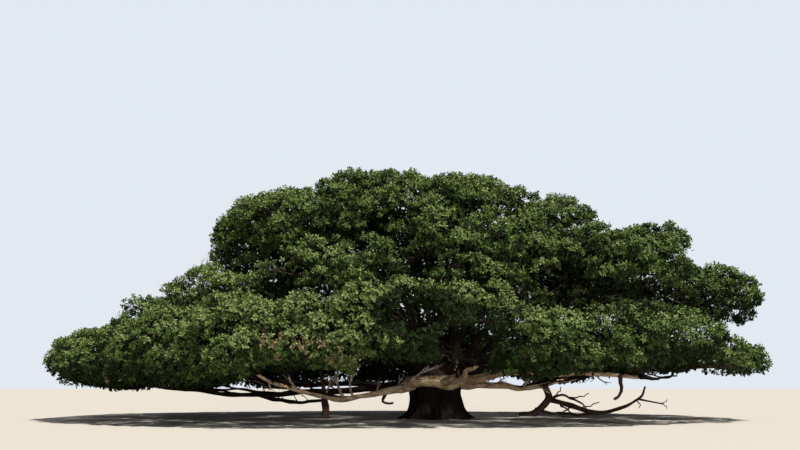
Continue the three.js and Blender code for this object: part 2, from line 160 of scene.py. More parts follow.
DEAD_TWIG_GIRTH = 1.35
SPUR_TAPER = 0.35
SPUR_SHARE = dict(length=0.55, radius=0.5, bend=0.18, turn=0.8)
# Stubs that hang from low boughs: the bough, the x, the radius and the way down.
HANGING_STUBS = (
    (3, 9.5, 0.11, ((0.0, 0.0, 0.0), (0.05, -0.02, -0.6), (-0.05, 0.0, -1.0), (-0.35, 0.0, -1.2))),
    (1, -2.9, 0.09, ((0.0, 0.0, 0.0), (-0.1, -0.1, -0.25), (-0.15, -0.15, -0.45), (0.05, -0.15, -0.55),
                     (0.4, -0.1, -0.52))),
)
# The ridge where the low boughs meet across the trunk's front, pale with painted sunlight.
SADDLE_RADIUS = 0.24
SADDLE = ((-1.75, -0.75, 1.85), (-1.1, -1.28, 2.02), (-0.3, -1.50, 1.92), (0.5, -1.42, 1.84),
          (1.2, -1.0, 1.98))
# The prop's bare arms over the left bough, each with its radii, and the low limb that sags from that bough
# back to the prop, with its bare twigs.
PROP_ARMS = (
    (0.10, 0.05, ((-6.45, 0.0, 1.5), (-6.6, -0.05, 2.3), (-6.75, -0.15, 3.1))),
    (0.055, 0.03, ((-6.55, 0.0, 2.2), (-7.15, -0.05, 2.05), (-7.6, -0.05, 1.85))),
    (0.055, 0.03, ((-6.55, 0.0, 2.1), (-6.3, -0.1, 2.05), (-6.0, -0.1, 1.7))),
    (0.055, 0.03, ((-6.7, -0.1, 2.8), (-6.3, -0.2, 3.0), (-6.1, -0.3, 3.3))),
)
LOW_LIMB = dict(start=-10.35, base=0.11, tip=0.085, twigs=5, twig_length=0.5, twig_radius=0.035,
                way=((-9.6, 0.0, 1.15), (-8.3, -0.05, 0.90), (-7.2, 0.0, 0.95), (-6.35, 0.0, 0.98)))
# Branches of the limb on the ground, from the same place as its other points, with a radius each.
GROUND_TWIGS = (
    (0.10, ((-0.6, 0.3, 0.40), (0.6, 0.2, 0.16), (2.0, 0.5, 0.12), (3.4, 0.6, 0.10))),
    (0.075, ((0.3, 0.2, 0.95), (1.1, 0.0, 1.25), (2.1, 0.1, 0.80), (2.9, 0.3, 0.12))),
    (0.055, ((0.9, 0.4, 0.75), (1.5, 0.9, 0.35), (2.0, 1.2, 0.06))),
    (0.055, ((1.8, 0.5, 0.60), (1.2, 0.2, 0.30), (0.8, -0.1, 0.06))),
    (0.050, ((1.5, 0.0, 1.10), (2.2, 0.0, 1.15), (2.7, 0.1, 1.35))),
    (0.045, ((2.2, 0.6, 0.45), (2.8, 0.3, 0.62), (3.3, 0.0, 0.85))),
    (0.045, ((0.5, 0.2, 1.10), (0.9, 0.1, 1.45), (1.0, 0.0, 1.75))),
    (0.040, ((5.7, 0.9, 0.95), (6.0, 0.8, 0.70), (5.9, 0.8, 0.45))),
    (0.032, ((7.3, 1.0, 0.73), (7.6, 1.0, 0.80), (7.75, 1.0, 0.98))),
    (0.032, ((7.3, 1.0, 0.73), (7.6, 0.95, 0.62), (7.65, 0.9, 0.42))),
)

# Foliage: a mass's lumps lie along arms that point away from its hub, twigs in a lump fan out to tufts, and
# a tuft's sprays hold the leaves. A lump is flattened to the depth's share, sunk by a seeded part, and held
# if it lies no more than the share beyond the plane midway to a neighbour.
ARM_COUNT = 120
ARM_LOWEST = -0.85
ARM_HIGHEST = 0.98
LUMP_RADIUS = dict(skirt=(0.6, 1.1), shoulder=(0.65, 1.2), upper=(0.65, 1.2), top=(0.6, 1.15),
                   wing=(0.5, 0.8))
LUMP_DEPTH = 0.64
FLATTENED = np.array([1, 1, LUMP_DEPTH])
LUMP_INSET = dict(skirt=0.16, shoulder=0.16, upper=0.12, top=0.36, wing=0.16)
LUMP_SUNK = 0.9
LUMP_BEYOND = 1.12
LUMP_SPACING = 0.70
LUMP_ROOM = 0.1
# A lump whose arm rises more than the first value faces up by the second beside its arm.
LUMP_FACING = (-0.35, 0.7)
# Small lumps fill the gaps that the others leave, darker with painted shade: the arms tried in each mass, the
# radii, the spacing, and how much lower they count in the dealing of tones.
FILL_ARMS = 140
FILL_RADIUS = (0.42, 0.60)
FILL_SPACING = 0.66
FILL_SHADE = 0.7
# A lump's tufts lie over a cap as wide as this cosine. A tuft's radius is a share of the lump's, from a
# least part of it up by a varied one. It is sunk by a part of itself and loosened a little.
TUFTS_PER_LUMP = 10
TUFTS = dict(widest=-0.12, share=0.36, least=0.8, varied=0.45, sunk=0.9, loose=0.10)
# A tuft's sprays lie over a cap that is turned up a little, at a varied part of the tuft's radius. A tuft
# smaller than a full one has fewer.
SPRAYS_PER_TUFT = 9
SPRAYS = dict(widest=-0.1, upturn=0.2, least=0.75, varied=0.4)
FULL_TUFT = 0.36
SEAM_SWELL = dict(skirt=0.7, shoulder=0.8, upper=0.45, top=0.2, wing=0.3)
SEAM_WIDTH = 1.7
# Sprays lie an inset inside the crown's reach. One is left out where it had to be drawn in too far, lies
# under another lump's cover, a share of that lump's radius, or comes too near to a limb.
SPRAY_INSET = 0.17
SPRAY_DRAWN = 0.45
LUMP_COVER = 0.92
LUMP_NEARBY = 9.0
LIMB_GAP = 0.15
# A spray's leaves: their lengths, and the shares of a length for the broadest place, the half width, the
# fold along the midrib and the bend of the tip. They open from the spray's axis by a first angle, up to a
# second beside it, and a loose one, in degrees, and their feet spread along the stalk and aside.
LEAVES_PER_SPRAY = 11
LEAF_LENGTH = (0.12, 0.18)
LEAF = dict(broadest=0.40, half_width=0.33, fold=0.09, bend=0.08)
LEAF_OPENING = dict(first=30, spread=70, loose=14)
SPRAY_AXIS = dict(upturn=0.3, droop=0.2, tilt=0.38, stalk=0.12, aside=0.07)
# Arms from a mass's fork to its lumps, their radii and how far they sag, and the pointed twigs' radii.
ARM_RADII = (0.075, 0.03)
ARM_SAG = 0.25
TWIG_RADIUS = 0.028
SPRAY_STALK = 0.010
# Large leaves in painted shade inside the lumps and masses. Those of a mass lie where its own reach isn't cut
# by its neighbours to less than a share. One stays where it wasn't drawn in far, or faces down by a slope.
# Under the skirt's masses from the first number to the one before the second they also hang.
INNER_LEAVES_PER_LUMP = 9
INNER_LEAVES_PER_MASS = 1500
INNER_LEAST_SHARE = 0.6
INNER_LEAF_LENGTH = (0.26, 0.38)
INNER_DRAWN = 0.3
INNER_HANGING = -0.3
SHADED_SKIRT = (8, 13)
# The shells on which they lie, as shares of a lump's or a mass's reach: the least and how it varies. Below
# a skirt's hub the shell lies further out, most at the back, and fully so from a slope on.
LUMP_SHELL = (0.40, 0.22)
MASS_SHELL = (0.45, 0.30)
SHELL_BELOW = dict(front=0.25, back=0.54, slope=0.6)
# Open places, each a middle, its half-widths and how far beyond it the leaves get painted shade: two recesses
# in the crown's front above the trunk, the space over the left bough, the notch between the wing and the
# skirt, and the space under the skirt on the right.
HOLLOWS = (
    ((-1.4, -10.4, 4.8), (1.15, 4.0, 0.75), 1.7),
    ((0.7, -9.8, 3.65), (1.4, 4.8, 0.95), 1.7),
    ((-7.1, -9.5, 1.75), (3.2, 4.5, 1.05), 1.0),
    ((17.2, -1.0, 4.45), (2.4, 9.0, 0.70), 1.0),
    ((11.0, -3.0, 1.55), (10.0, 13.0, 1.15), 1.0),
)
# Lumps that fill the corners between the masses of two tiers, on the left and along the front right, each
# a place and a radius.
CORNER_LUMPS = (
    ((-12.7, -3.4, 7.9), 1.0), ((-13.1, -1.4, 8.3), 1.0), ((-13.1, 0.8, 8.2), 1.1),
    ((-12.7, 2.8, 8.0), 1.0), ((-14.0, -2.6, 7.2), 0.9), ((-14.2, -0.3, 7.4), 0.9),
    ((-14.0, 1.9, 7.3), 0.9), ((-12.2, -4.9, 7.6), 0.9), ((3.3, -10.7, 6.0), 0.95),
    ((5.5, -10.3, 5.9), 1.05), ((7.5, -9.6, 5.8), 1.0), ((9.3, -8.5, 5.7), 0.95),
    ((10.9, -7.1, 5.5), 0.9), ((12.3, -5.4, 5.3), 0.8),
)
# Clumps of large leaves in painted shade inside the crown, under its tiers' overhangs, each a place and a
# radius.
SHADE_CLUMPS = (
    ((-9.6, -2.4, 7.2), 1.1), ((-8.0, -3.2, 6.8), 1.0), ((-6.7, -3.7, 6.6), 1.0),
    ((-10.6, 0.6, 7.7), 1.1), ((-8.6, -0.5, 7.2), 1.1), ((-11.2, -1.3, 7.9), 0.9),
    ((-9.8, 2.6, 7.0), 1.1), ((-8.6, 1.6, 6.2), 1.1), ((-8.4, -1.8, 6.0), 1.1), ((-9.4, 0.2, 6.4), 1.1),
    ((-1.0, -4.2, 7.4), 1.0), ((-0.9, -2.4, 7.7), 1.1), ((-1.1, -2.8, 6.9), 1.0),
    ((-0.8, 3.0, 5.7), 1.2), ((2.7, 3.0, 5.5), 1.2), ((-2.6, 3.2, 5.6), 1.1), ((9.3, -4.4, 6.3), 1.1),
    ((3.0, -6.4, 6.2), 0.9), ((4.5, 7.6, 4.8), 1.0), ((6.6, 7.0, 4.5), 1.0), ((9.4, 4.9, 6.2), 1.0),
    ((11.6, 0.0, 6.8), 1.0), ((12.8, -2.3, 3.6), 0.9), ((11.2, 4.3, 4.2), 0.9), ((-8.6, 3.4, 8.8), 1.0),
    ((-8.8, -0.4, 9.8), 0.9), ((-4.2, -2.4, 11.2), 0.9), ((-2.6, 4.8, 9.8), 0.9),
    ((-6.7, -2.6, 6.0), 1.1), ((-6.4, -0.6, 6.2), 1.2), ((-6.4, 1.4, 6.1), 1.2),
    ((-6.8, 3.2, 5.9), 1.1), ((-5.2, 0.3, 5.4), 1.2), ((8.6, 6.2, 4.3), 1.1), ((10.2, 5.0, 4.3), 1.1),
    ((12.5, 2.5, 3.9), 1.0), ((2.6, 8.2, 4.6), 1.0), ((0.6, 8.4, 4.7), 1.1), ((13.2, 0.2, 3.6), 0.9),
    ((11.2, -2.4, 6.6), 1.0), ((0.4, 7.9, 5.4), 1.0), ((2.3, 7.7, 5.4), 1.0), ((7.4, 6.3, 5.4), 1.0),
    ((9.5, 5.2, 5.2), 1.1), ((11.2, 3.8, 5.0), 1.0), ((-9.0, 2.0, 7.6), 1.1), ((-7.7, 8.3, 2.8), 0.8),
    ((-6.5, 8.4, 2.7), 0.9), ((-5.3, 8.4, 2.7), 0.9), ((-4.1, 8.5, 2.8), 0.8), ((-0.8, 1.6, 5.6), 1.1),
    ((1.9, 1.4, 5.2), 1.0), ((-11.3, 6.6, 3.1), 0.8), ((-9.8, 7.4, 2.9), 0.8),
)
CLUMP_LEAVES = 150
# Patches of dry leaves, each a middle and its half-width, with the share of its sprays that stay green.
DRY_PATCHES = (
    ((-12.9, -5.0, 6.9), 0.9), ((-16.0, -6.0, 2.8), 1.0), ((-12.4, -10.0, 3.1), 0.6),
    ((-7.7, -12.0, 3.5), 0.8), ((-5.2, -11.5, 3.0), 1.1), ((-6.2, -12.0, 3.3), 0.7),
    ((8.0, 8.0, 4.2), 1.0),
)
DRY_GREEN_SHARE = 0.6
# Light: the crown bears this many sprays, those that see the most open sky, where the clearest direction
# counts extra. The space is cut into cubes, and light comes from this many directions, down to well below
# level, through so many cubes of foliage.
SPRAY_COUNT = 31800
CLEAR_WEIGHT = 0.6
CUBE = 0.42
SKY_DIRECTIONS = 46
SKY_LOWEST = -0.6
SKY_STEPS = 14
SKY_DIMMING = 0.08
SKY_EVEN_SHARE = 0.4
# Shares of the crown's sprays, from the leaf tone with the deepest painted shade to the one with painted
# sunlight. Also what counts in a spray's score, which sets the light and shade painted on it: its level in
# its lump, how far it faces up, its rank in its mass by light, and chance.
TONE_SHARES = (0.17, 0.26, 0.33, 0.24)
SCORE = dict(level=0.75, rise=0.3, rank=0.6, chance=0.3)
SHADE_TONE = 0
DRY_TONE = 4
# What a mass's tier adds to its sprays' scores, for more painted light or painted shade. Two bells over x,
# each with its most, its middle and its half-width, paint light on the skirt's middle and paint shade on
# every tier on the right.
PAINTED_LIGHT_LIFT = dict(skirt=-0.08, shoulder=-0.02, upper=-0.02, top=0.0, wing=-0.10)
SKIRT_LIGHT = (0.80, -4.0, 6.5)
RIGHT_SHADE = (-0.24, 12.5, 5.5)

# Leaf zones: each is one joined piece, which stands for the masses of one stretch of a tier.
ZONES = {
    "skirt_front": [("skirt", n) for n in (1, 2, 3, 4, 5, 13, 14)],
    "skirt_back": [("skirt", n) for n in (6, 7, 8, 9, 10, 11, 12)],
    "shoulder_front": [("shoulder", n) for n in (1, 6, 7, 8, 9, 10)],
    "shoulder_back": [("shoulder", n) for n in (2, 3, 4, 5)] + [("wing", 1), ("wing", 2)],
    "upper": [("upper", n) for n in range(1, 9)],
    "top": [("top", n) for n in range(1, 5)],
}

# Tones of each kind of bark: pale wood, brown patches and dark fissures. The column's tones are near black
# with painted shade. The sunlit tones are pale bark made paler with painted sunlight. The shaded tones are
# dark with painted shade, and the twigs' brown is darker with painted shade.
COLUMN_SHADE_TONES = ((0.019, 0.015, 0.011), (0.011, 0.009, 0.006), (0.005, 0.004, 0.003))
SUNLIT_TONES = ((0.90, 0.71, 0.48), (0.60, 0.42, 0.26), (0.22, 0.14, 0.08))
SHADED_TONES = ((0.030, 0.020, 0.013), (0.018, 0.012, 0.008), (0.008, 0.006, 0.004))
RED_TONES = ((0.125, 0.076, 0.053), (0.070, 0.042, 0.030), (0.026, 0.017, 0.013))
DEAD_TONES = ((0.76, 0.66, 0.54), (0.48, 0.38, 0.29), (0.18, 0.13, 0.09))
TWIG_BROWN_AND_SHADE_TONES = ((0.048, 0.036, 0.026), (0.029, 0.021, 0.015), (0.013, 0.010, 0.007))
# Dry bark mirrors hardly any light, and its fissures are this deep.
BARK_SHEEN = 0.1
BARK_DEPTH = 0.03

# A wide pale floor just under the ground level.
FLOOR = dict(radius=900, sides=96, height=-0.002, colour=(0.44, 0.41, 0.365, 1), roughness=0.9)
# The suns' strength, how far each spreads, and how it is tipped and turned, in degrees. The sky's colour
# and strength, as it lights the tree and as the camera sees it.
KEY_SUN = dict(energy=6.6, spread=2, tipped=28, turned=40, colour=(1.0, 0.96, 0.90))
FILL_SUN = dict(energy=0.5, spread=20, tipped=81, turned=12, colour=(1.0, 1.0, 1.0))
SKY = ((0.78, 0.86, 1.0, 1), 0.16)
SEEN_SKY = ((0.80, 0.86, 0.93, 1), 0.95)
# The photograph's viewing angle: lens and sensor in millimetres, the eye's place and its upward tilt.
CAMERA = dict(lens=36, sensor=36, clip=2000, eye=(-2.14, -46.2, 1.73), tilt=11.45)


def chance(n, seed):
    """A number from 0 to 1 for each n and seed: the fraction of a large multiple of a sine."""
    value = np.sin(np.asarray(n, float) * 12.9898 + np.asarray(seed, float) * 78.233) * 43758.5453
    return value - np.floor(value)


def swing(n, seed):
    """The same, spread evenly from -1 to 1."""
    return 2 * chance(n, seed) - 1


def loose_offset(numbers, seed, rise=1.0):
    """A seeded offset: a swing along each axis for one of three numbers, the last scaled by the rise."""
    x, y, z = numbers
    return np.stack([swing(x, seed), swing(y, seed), rise * swing(z, seed)], axis=-1)


def between(span, share):
    """The value at a share of the way from the first of two to the second."""
    return span[0] + (span[1] - span[0]) * share


def unit(vectors):
    """Vectors scaled to length one."""
    return vectors / (np.linalg.norm(vectors, axis=-1, keepdims=True) + 1e-12)


def square_frame(axes):
    """Two directions for each axis, square to it and to one another: the cross product of the axis and
    upright, or east where the axis itself is upright, and the cross product of the axis and that one."""
    helper = np.where(np.abs(axes[:, 2:]) > UPRIGHT, EAST, UP)
    across = unit(np.cross(axes, helper))
    return across, np.cross(axes, across)


def lengths_along(path):
    """How far along a path each of its points lies."""
    return np.concatenate([[0.0], np.cumsum(np.linalg.norm(np.diff(path, axis=0), axis=1))])


def even_bearings(ring):
    """Bearings at even steps along an ellipse, read off its length added up over many short chords."""
    chords = 720
    middles = (np.arange(chords) + 0.5) / chords * TURN
    steps = np.hypot(ring["half_x"] * np.sin(middles), ring["half_y"] * np.cos(middles))
    lengths = np.concatenate([[0.0], np.cumsum(steps)])
    wanted = (ring["start"] + np.arange(ring["count"]) / ring["count"]) % 1 * lengths[-1]
    return np.interp(wanted, lengths, np.linspace(0, TURN, chords + 1))


def place_masses():
    """Every mass: its tier and number, its hub on the tier's ellipse, which way it faces, and its reach."""
    masses = []
    for tier, ring in TIERS.items():
        for number, bearing in enumerate(even_bearings(ring), 1):
            seed = len(masses) + 1
            east = math.cos(bearing)
            height = ring["height"] + ring["lean"] * east - ring["droop"] * east ** 2
            hub = np.array([
                ring["centre_x"] + ring["half_x"] * east + SCATTER_LEVEL * swing(1, seed),
                ring["half_y"] * math.sin(bearing) + SCATTER_LEVEL * swing(2, seed),
                height + SCATTER_HEIGHT * swing(3, seed),
            ])
            out = unit(np.array([east / ring["half_x"], math.sin(bearing) / ring["half_y"], 0.0]))
            depth = 1 - ring["slim"] * ((1 + east) / 2) ** 2 - ring["thin"] * ((1 - east) / 2) ** 8
            masses.append(dict(
                name=f"{tier}_foliage_{number}", tier=tier, number=number, seed=seed, hub=hub, out=out,
                side=np.array([-out[1], out[0], 0.0]), reach_side=ring["side"], reach_out=ring["out"],
                reach_up=ring["up"] * depth, reach_down=ring["down"] * depth,
                fork=hub - FORK[0] * out - FORK[1] * UP,
            ))
    return masses


MASSES = place_masses()
HUBS = np.array([mass["hub"] for mass in MASSES])


def own_reach(mass, directions):
    """How far a mass's own half-ellipsoids extend in each direction."""
    along = directions @ mass["side"] / mass["reach_side"]
    outwards = directions @ mass["out"] / mass["reach_out"]
    rise = directions[:, 2]
    upwards = np.where(rise < 0, rise / mass["reach_down"], rise / mass["reach_up"])
    return 1 / np.sqrt(along ** 2 + outwards ** 2 + upwards ** 2)


def plane_reach(mass, directions):
    """How far it is in each direction to the nearest plane midway to a neighbour's hub."""
    apart = np.delete(HUBS, mass["seed"] - 1, axis=0) - mass["hub"]
    distance = np.linalg.norm(apart, axis=1)
    facing = np.maximum(directions @ (apart / distance[:, None]).T, 1e-6)
    return ((distance / 2 - CELL_MARGIN) / facing).min(axis=1)


def reach_of(mass, directions):
    """How far a mass extends in each direction: to its own reach or to the nearest plane, if that is less."""
    return np.minimum(own_reach(mass, directions), plane_reach(mass, directions))


def bezier(points, shares):
    """Points of a cubic curve: four handles blended by the cubic Bernstein weights of each share."""
    t = np.asarray(shares, float)[:, None]
    a, b, c, d = points
    return a * (1 - t) ** 3 + 3 * b * t * (1 - t) ** 2 + 3 * c * t ** 2 * (1 - t) + d * t ** 3


def bent_path(start, middle, end, count):
    """A path of one bend: three handles blended by the square Bernstein weights of even shares."""
    t = np.linspace(0, 1, count)[:, None]
    return start * (1 - t) ** 2 + 2 * middle * t * (1 - t) + end * t ** 2


def bough_handles(rule, a, b, index):
    """The four handles of the bough that carries masses a and b, from the trunk's head to a tip inside and
    below them, leaving and arriving at the given slopes with a seeded sway."""
    apart = unit(a["hub"] - b["hub"])
    inwards = -rule["inset"] * unit(a["out"] + b["out"]) - rule["drop"] * UP
    inwards = inwards - apart * (inwards @ apart)
    tip = (a["hub"] + b["hub"]) / 2 + inwards
    bearing = math.atan2(tip[1], tip[0])
    root = np.array([rule["radius"] * math.cos(bearing), rule["radius"] * math.sin(bearing), rule["height"]])
    pull = BOUGH_PULL * np.linalg.norm(tip - root)
    sway = BOUGH_SWAY * float(swing(4, a["seed"]))

    def slope(degrees, way):
        rise = math.radians(degrees)
        return np.array([math.cos(way) * math.cos(rise), math.sin(way) * math.cos(rise), math.sin(rise)])

    leaving = root + pull * slope(rule["rises"][index], bearing + sway)
    arriving = tip - pull * slope(rule["arrives"][index], bearing - sway)
    return np.array([root, leaving, arriving, tip])


def bough_at(handles, x):
    """The point of a bough's line at one x."""
    line = bezier(handles, np.linspace(0, 1, 201))
    return line[np.argmin(np.abs(line[:, 0] - x))]


def resample(path, count):
    """The same path with count points at even steps along its length."""
    lengths = lengths_along(path)
    wanted = np.linspace(0, lengths[-1], count)
    return np.stack([np.interp(wanted, lengths, path[:, axis]) for axis in range(3)], axis=1)


def smooth_path(points, count):
    """A path through a few points: each stretch is the Catmull-Rom blend of its two ends and their
    neighbours, and the result is resampled at even steps along its length."""
    points = np.asarray(points, float)
    ends = np.vstack([2 * points[0] - points[1], points, 2 * points[-1] - points[-2]])
    t = np.linspace(0, 1, 12, endpoint=False)[:, None]
    stretches = []
    for p0, p1, p2, p3 in zip(ends[:-3], ends[1:-2], ends[2:-1], ends[3:]):
        stretches.append(0.5 * (2 * p1 + (p2 - p0) * t + (2 * p0 - 5 * p1 + 4 * p2 - p3) * t ** 2
                                + (3 * p1 - p0 - 3 * p2 + p3) * t ** 3))
    return resample(np.vstack(stretches + [points[-1:]]), count)


def tube_faces(rings, sides):
    """Faces of a closed tube on a grid of rings: quads between each ring and the next, and triangles from
    the first ring and the last to two poles, whose points come after those of the rings."""
    ring, side = np.meshgrid(np.arange(rings - 1), np.arange(sides), indexing="ij")
    here, there = side.ravel(), (side.ravel() + 1) % sides
    low, high = ring.ravel() * sides, (ring.ravel() + 1) * sides
    quads = np.stack([low + here, low + there, high + there, high + here], axis=1)
    here, there = np.arange(sides), (np.arange(sides) + 1) % sides
    top = (rings - 1) * sides
    first_pole, last_pole = np.full(sides, rings * sides), np.full(sides, rings * sides + 1)
    caps = np.vstack([np.stack([there, here, first_pole], axis=1),
                      np.stack([top + here, top + there, last_pole], axis=1)])
    return quads, caps


def carried_tube(path, radius):
    """A tube along a path: at each point a ring lies square to the path, with its points at the radii given
    for that ring. Both ends close on a pole. Returns points, quads, triangles and the grain, a coordinate
    that runs round and along the limb."""
    rings, sides = radius.shape
    along = unit(np.gradient(path, axis=0))
    chord = path[-1] - path[0]
    level = np.array([-chord[1], chord[0], 0.0])
    level = unit(level if np.linalg.norm(level) > 1e-3 else EAST)
    across = unit(level - along * (along @ level)[:, None])
    square = np.cross(along, across)
    angle = np.linspace(0, TURN, sides, endpoint=False)
    spokes = across[:, None] * np.cos(angle)[None, :, None] + square[:, None] * np.sin(angle)[None, :, None]
    body = path[:, None] + spokes * radius[..., None]
    points = np.vstack([body.reshape(-1, 3), path[:1] - along[:1] * radius[0].mean() * FOOT_POLE,
                        path[-1:] + along[-1:] * radius[-1].mean() * TIP_POLE])
    distance = lengths_along(path)
    mean = radius.mean(axis=1)
    grain = np.stack([mean[:, None] * np.cos(angle), mean[:, None] * np.sin(angle),
                      np.repeat(distance[:, None] * GRAIN_STRETCH, sides, axis=1)], axis=2).reshape(-1, 3)
    grain = np.vstack([grain, [[0, 0, 0]], [[0, 0, distance[-1] * GRAIN_STRETCH]]])
    return points, *tube_faces(rings, sides), grain


def join(parts):
    """Several sets of points, quads, triangles and grain as one."""
    shift = 0
    points, quads, caps, grains = [], [], [], []
    for part_points, part_quads, part_caps, part_grain in parts:
        points.append(part_points)
        quads.append(part_quads + shift)
        caps.append(part_caps + shift)
        grains.append(part_grain)
        shift += len(part_points)
    return np.vstack(points), np.vstack(quads), np.vstack(caps), np.vstack(grains)


def add_object(name, data):
    """An object of the scene that stands at the origin."""
    thing = bpy.data.objects.new(name, data)
    bpy.context.scene.collection.objects.link(thing)
    return thing


def add_piece(name, points, faces, materials, stands_for=(), grain=None, tones=None, smooth=True):
    """A finished piece from arrays: its points, its lists of faces with equal corners, its materials and the
    tone of each face, with the nodes that it stands for."""
    mesh = bpy.data.meshes.new(name)
    mesh.vertices.add(len(points))
    mesh.vertices.foreach_set("co", np.ascontiguousarray(points, np.float32).ravel())
    corners = np.concatenate([np.ascontiguousarray(part).ravel() for part in faces])
    sizes = np.concatenate([np.full(len(part), part.shape[1]) for part in faces])
    starts = np.concatenate([[0], np.cumsum(sizes)[:-1]])
    mesh.loops.add(len(corners))
    mesh.loops.foreach_set("vertex_index", corners.astype(np.int32))
    mesh.polygons.add(len(sizes))
    mesh.polygons.foreach_set("loop_start", starts.astype(np.int32))
    mesh.polygons.foreach_set("use_smooth", np.full(len(sizes), smooth))
    if tones is not None:
        mesh.polygons.foreach_set("material_index", tones.astype(np.int32))
    if grain is not None:
        values = np.ascontiguousarray(grain, np.float32).ravel()
        mesh.attributes.new("grain", "FLOAT_VECTOR", "POINT").data.foreach_set("vector", values)
    mesh.update(calc_edges=True)
    for material in materials:
        mesh.materials.append(material)
    piece = add_object(name, mesh)
    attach(piece, "root")
    if stands_for:
        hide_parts(*stands_for)


def new_node(tree, kind, **values):
    """A shader node with its properties and its unlinked inputs set by name."""
    node = tree.nodes.new(kind)
    for key, value in values.items():
        if hasattr(node, key):
            setattr(node, key, value)
        else:
            node.inputs[key.replace("_", " ")].default_value = value
    return node


def new_group(name, inputs, outputs):
    """A shader node group with named sockets. Returns its tree and its input and output nodes."""
    group = bpy.data.node_groups.new(name, "ShaderNodeTree")
    for way, sockets in (("INPUT", inputs), ("OUTPUT", outputs)):
        for socket, kind in sockets.items():
            group.interface.new_socket(socket, in_out=way, socket_type=f"NodeSocket{kind}")
    return group, new_node(group, "NodeGroupInput"), new_node(group, "NodeGroupOutput")


def bark_weathering():
    """A node group: from a coordinate it works out fissures that run along the grain, soft patches, fine
    grit, and a height for the bump, which adds a quarter of the grit to the fissures."""
    inputs = {"Grain": "Vector", "Place": "Vector", "Fissure Scale": "Float", "Patch Scale": "Float"}
    outputs = dict.fromkeys(("Fissures", "Patches", "Grit", "Height"), "Float")
    group, source, result = new_group("bark_weathering", inputs, outputs)
    link = group.links.new
    lines = new_node(group, "ShaderNodeTexNoise", Detail=5.0, Roughness=0.62, Distortion=0.5)
    link(source.outputs["Grain"], lines.inputs["Vector"])
    link(source.outputs["Fissure Scale"], lines.inputs["Scale"])
    cracks = new_node(group, "ShaderNodeMapRange", From_Min=0.36, From_Max=0.52, To_Min=1.0, To_Max=0.0)
    link(lines.outputs["Fac"], cracks.inputs["Value"])
    link(cracks.outputs["Result"], result.inputs["Fissures"])

    patch = new_node(group, "ShaderNodeTexNoise", Detail=3.0, Roughness=0.55)
    link(source.outputs["Place"], patch.inputs["Vector"])
    link(source.outputs["Patch Scale"], patch.inputs["Scale"])
    spread = new_node(group, "ShaderNodeMapRange", From_Min=0.38, From_Max=0.62)
    link(patch.outputs["Fac"], spread.inputs["Value"])
    link(spread.outputs["Result"], result.inputs["Patches"])

    grit = new_node(group, "ShaderNodeTexNoise", Scale=38.0, Detail=4.0, Roughness=0.7)
    link(source.outputs["Place"], grit.inputs["Vector"])
    link(grit.outputs["Fac"], result.inputs["Grit"])
    height = new_node(group, "ShaderNodeMath", operation="MULTIPLY_ADD")
    height.inputs[1].default_value = 0.25
    link(grit.outputs["Fac"], height.inputs[0])
    link(lines.outputs["Fac"], height.inputs[2])
    link(height.outputs["Value"], result.inputs["Height"])


def leaf_tone_group():
    """A node group: from a place it varies a leaf's colour a little with soft noise, and its roughness."""
    inputs = dict(Place="Vector", Leaf="Color", Varied="Color")
    group, source, result = new_group("leaf_tone", inputs, dict(Colour="Color", Roughness="Float"))
    link = group.links.new
    noise = new_node(group, "ShaderNodeTexNoise", Scale=5.5, Detail=3.0, Roughness=0.7)
    link(source.outputs["Place"], noise.inputs["Vector"])
    mix = new_node(group, "ShaderNodeMix", data_type="RGBA")
    link(noise.outputs["Fac"], mix.inputs["Factor"])
    link(source.outputs["Leaf"], mix.inputs["A"])
    link(source.outputs["Varied"], mix.inputs["B"])
    link(mix.outputs["Result"], result.inputs["Colour"])
    rough = new_node(group, "ShaderNodeMapRange", From_Min=0.3, From_Max=0.7, To_Min=0.50, To_Max=0.75)
    link(noise.outputs["Fac"], rough.inputs["Value"])
    link(rough.outputs["Result"], result.inputs["Roughness"])


def new_material(name):
    """An empty material. Returns it with its node tree and its shader."""
    material = bpy.data.materials.new(name)
    material.use_nodes = True
    return material, material.node_tree, material.node_tree.nodes["Principled BSDF"]


def bark_colour(tree, weather, pale, brown, crack):
    """The colour of bark: pale wood, brown patches and dark fissures mixed by the weathering's masks."""
    patched = new_node(tree, "ShaderNodeMix", data_type="RGBA")
    patched.inputs["A"].default_value = (*pale, 1)
    patched.inputs["B"].default_value = (*brown, 1)
    tree.links.new(weather.outputs["Patches"], patched.inputs["Factor"])
    cracked = new_node(tree, "ShaderNodeMix", data_type="RGBA")
    cracked.inputs["B"].default_value = (*crack, 1)
    tree.links.new(patched.outputs["Result"], cracked.inputs["A"])
    tree.links.new(weather.outputs["Fissures"], cracked.inputs["Factor"])
    return cracked.outputs["Result"]


def banded_colour(tree, place, outside, inside, heights):
    """A colour in a band of heights over another: it comes in between the first two heights and goes out
    between the last two."""
    split = new_node(tree, "ShaderNodeSeparateXYZ")
    tree.links.new(place, split.inputs["Vector"])
    band = new_node(tree, "ShaderNodeMath", operation="MULTIPLY")
    for slot, (low, high) in enumerate((heights[:2], heights[:1:-1])):
        edge = new_node(tree, "ShaderNodeMapRange", From_Min=low, From_Max=high)
        tree.links.new(split.outputs["Z"], edge.inputs["Value"])
        tree.links.new(edge.outputs["Result"], band.inputs[slot])
    blend = new_node(tree, "ShaderNodeMix", data_type="RGBA")
    tree.links.new(band.outputs["Value"], blend.inputs["Factor"])
    tree.links.new(outside, blend.inputs["A"])
    tree.links.new(inside, blend.inputs["B"])
    return blend.outputs["Result"]


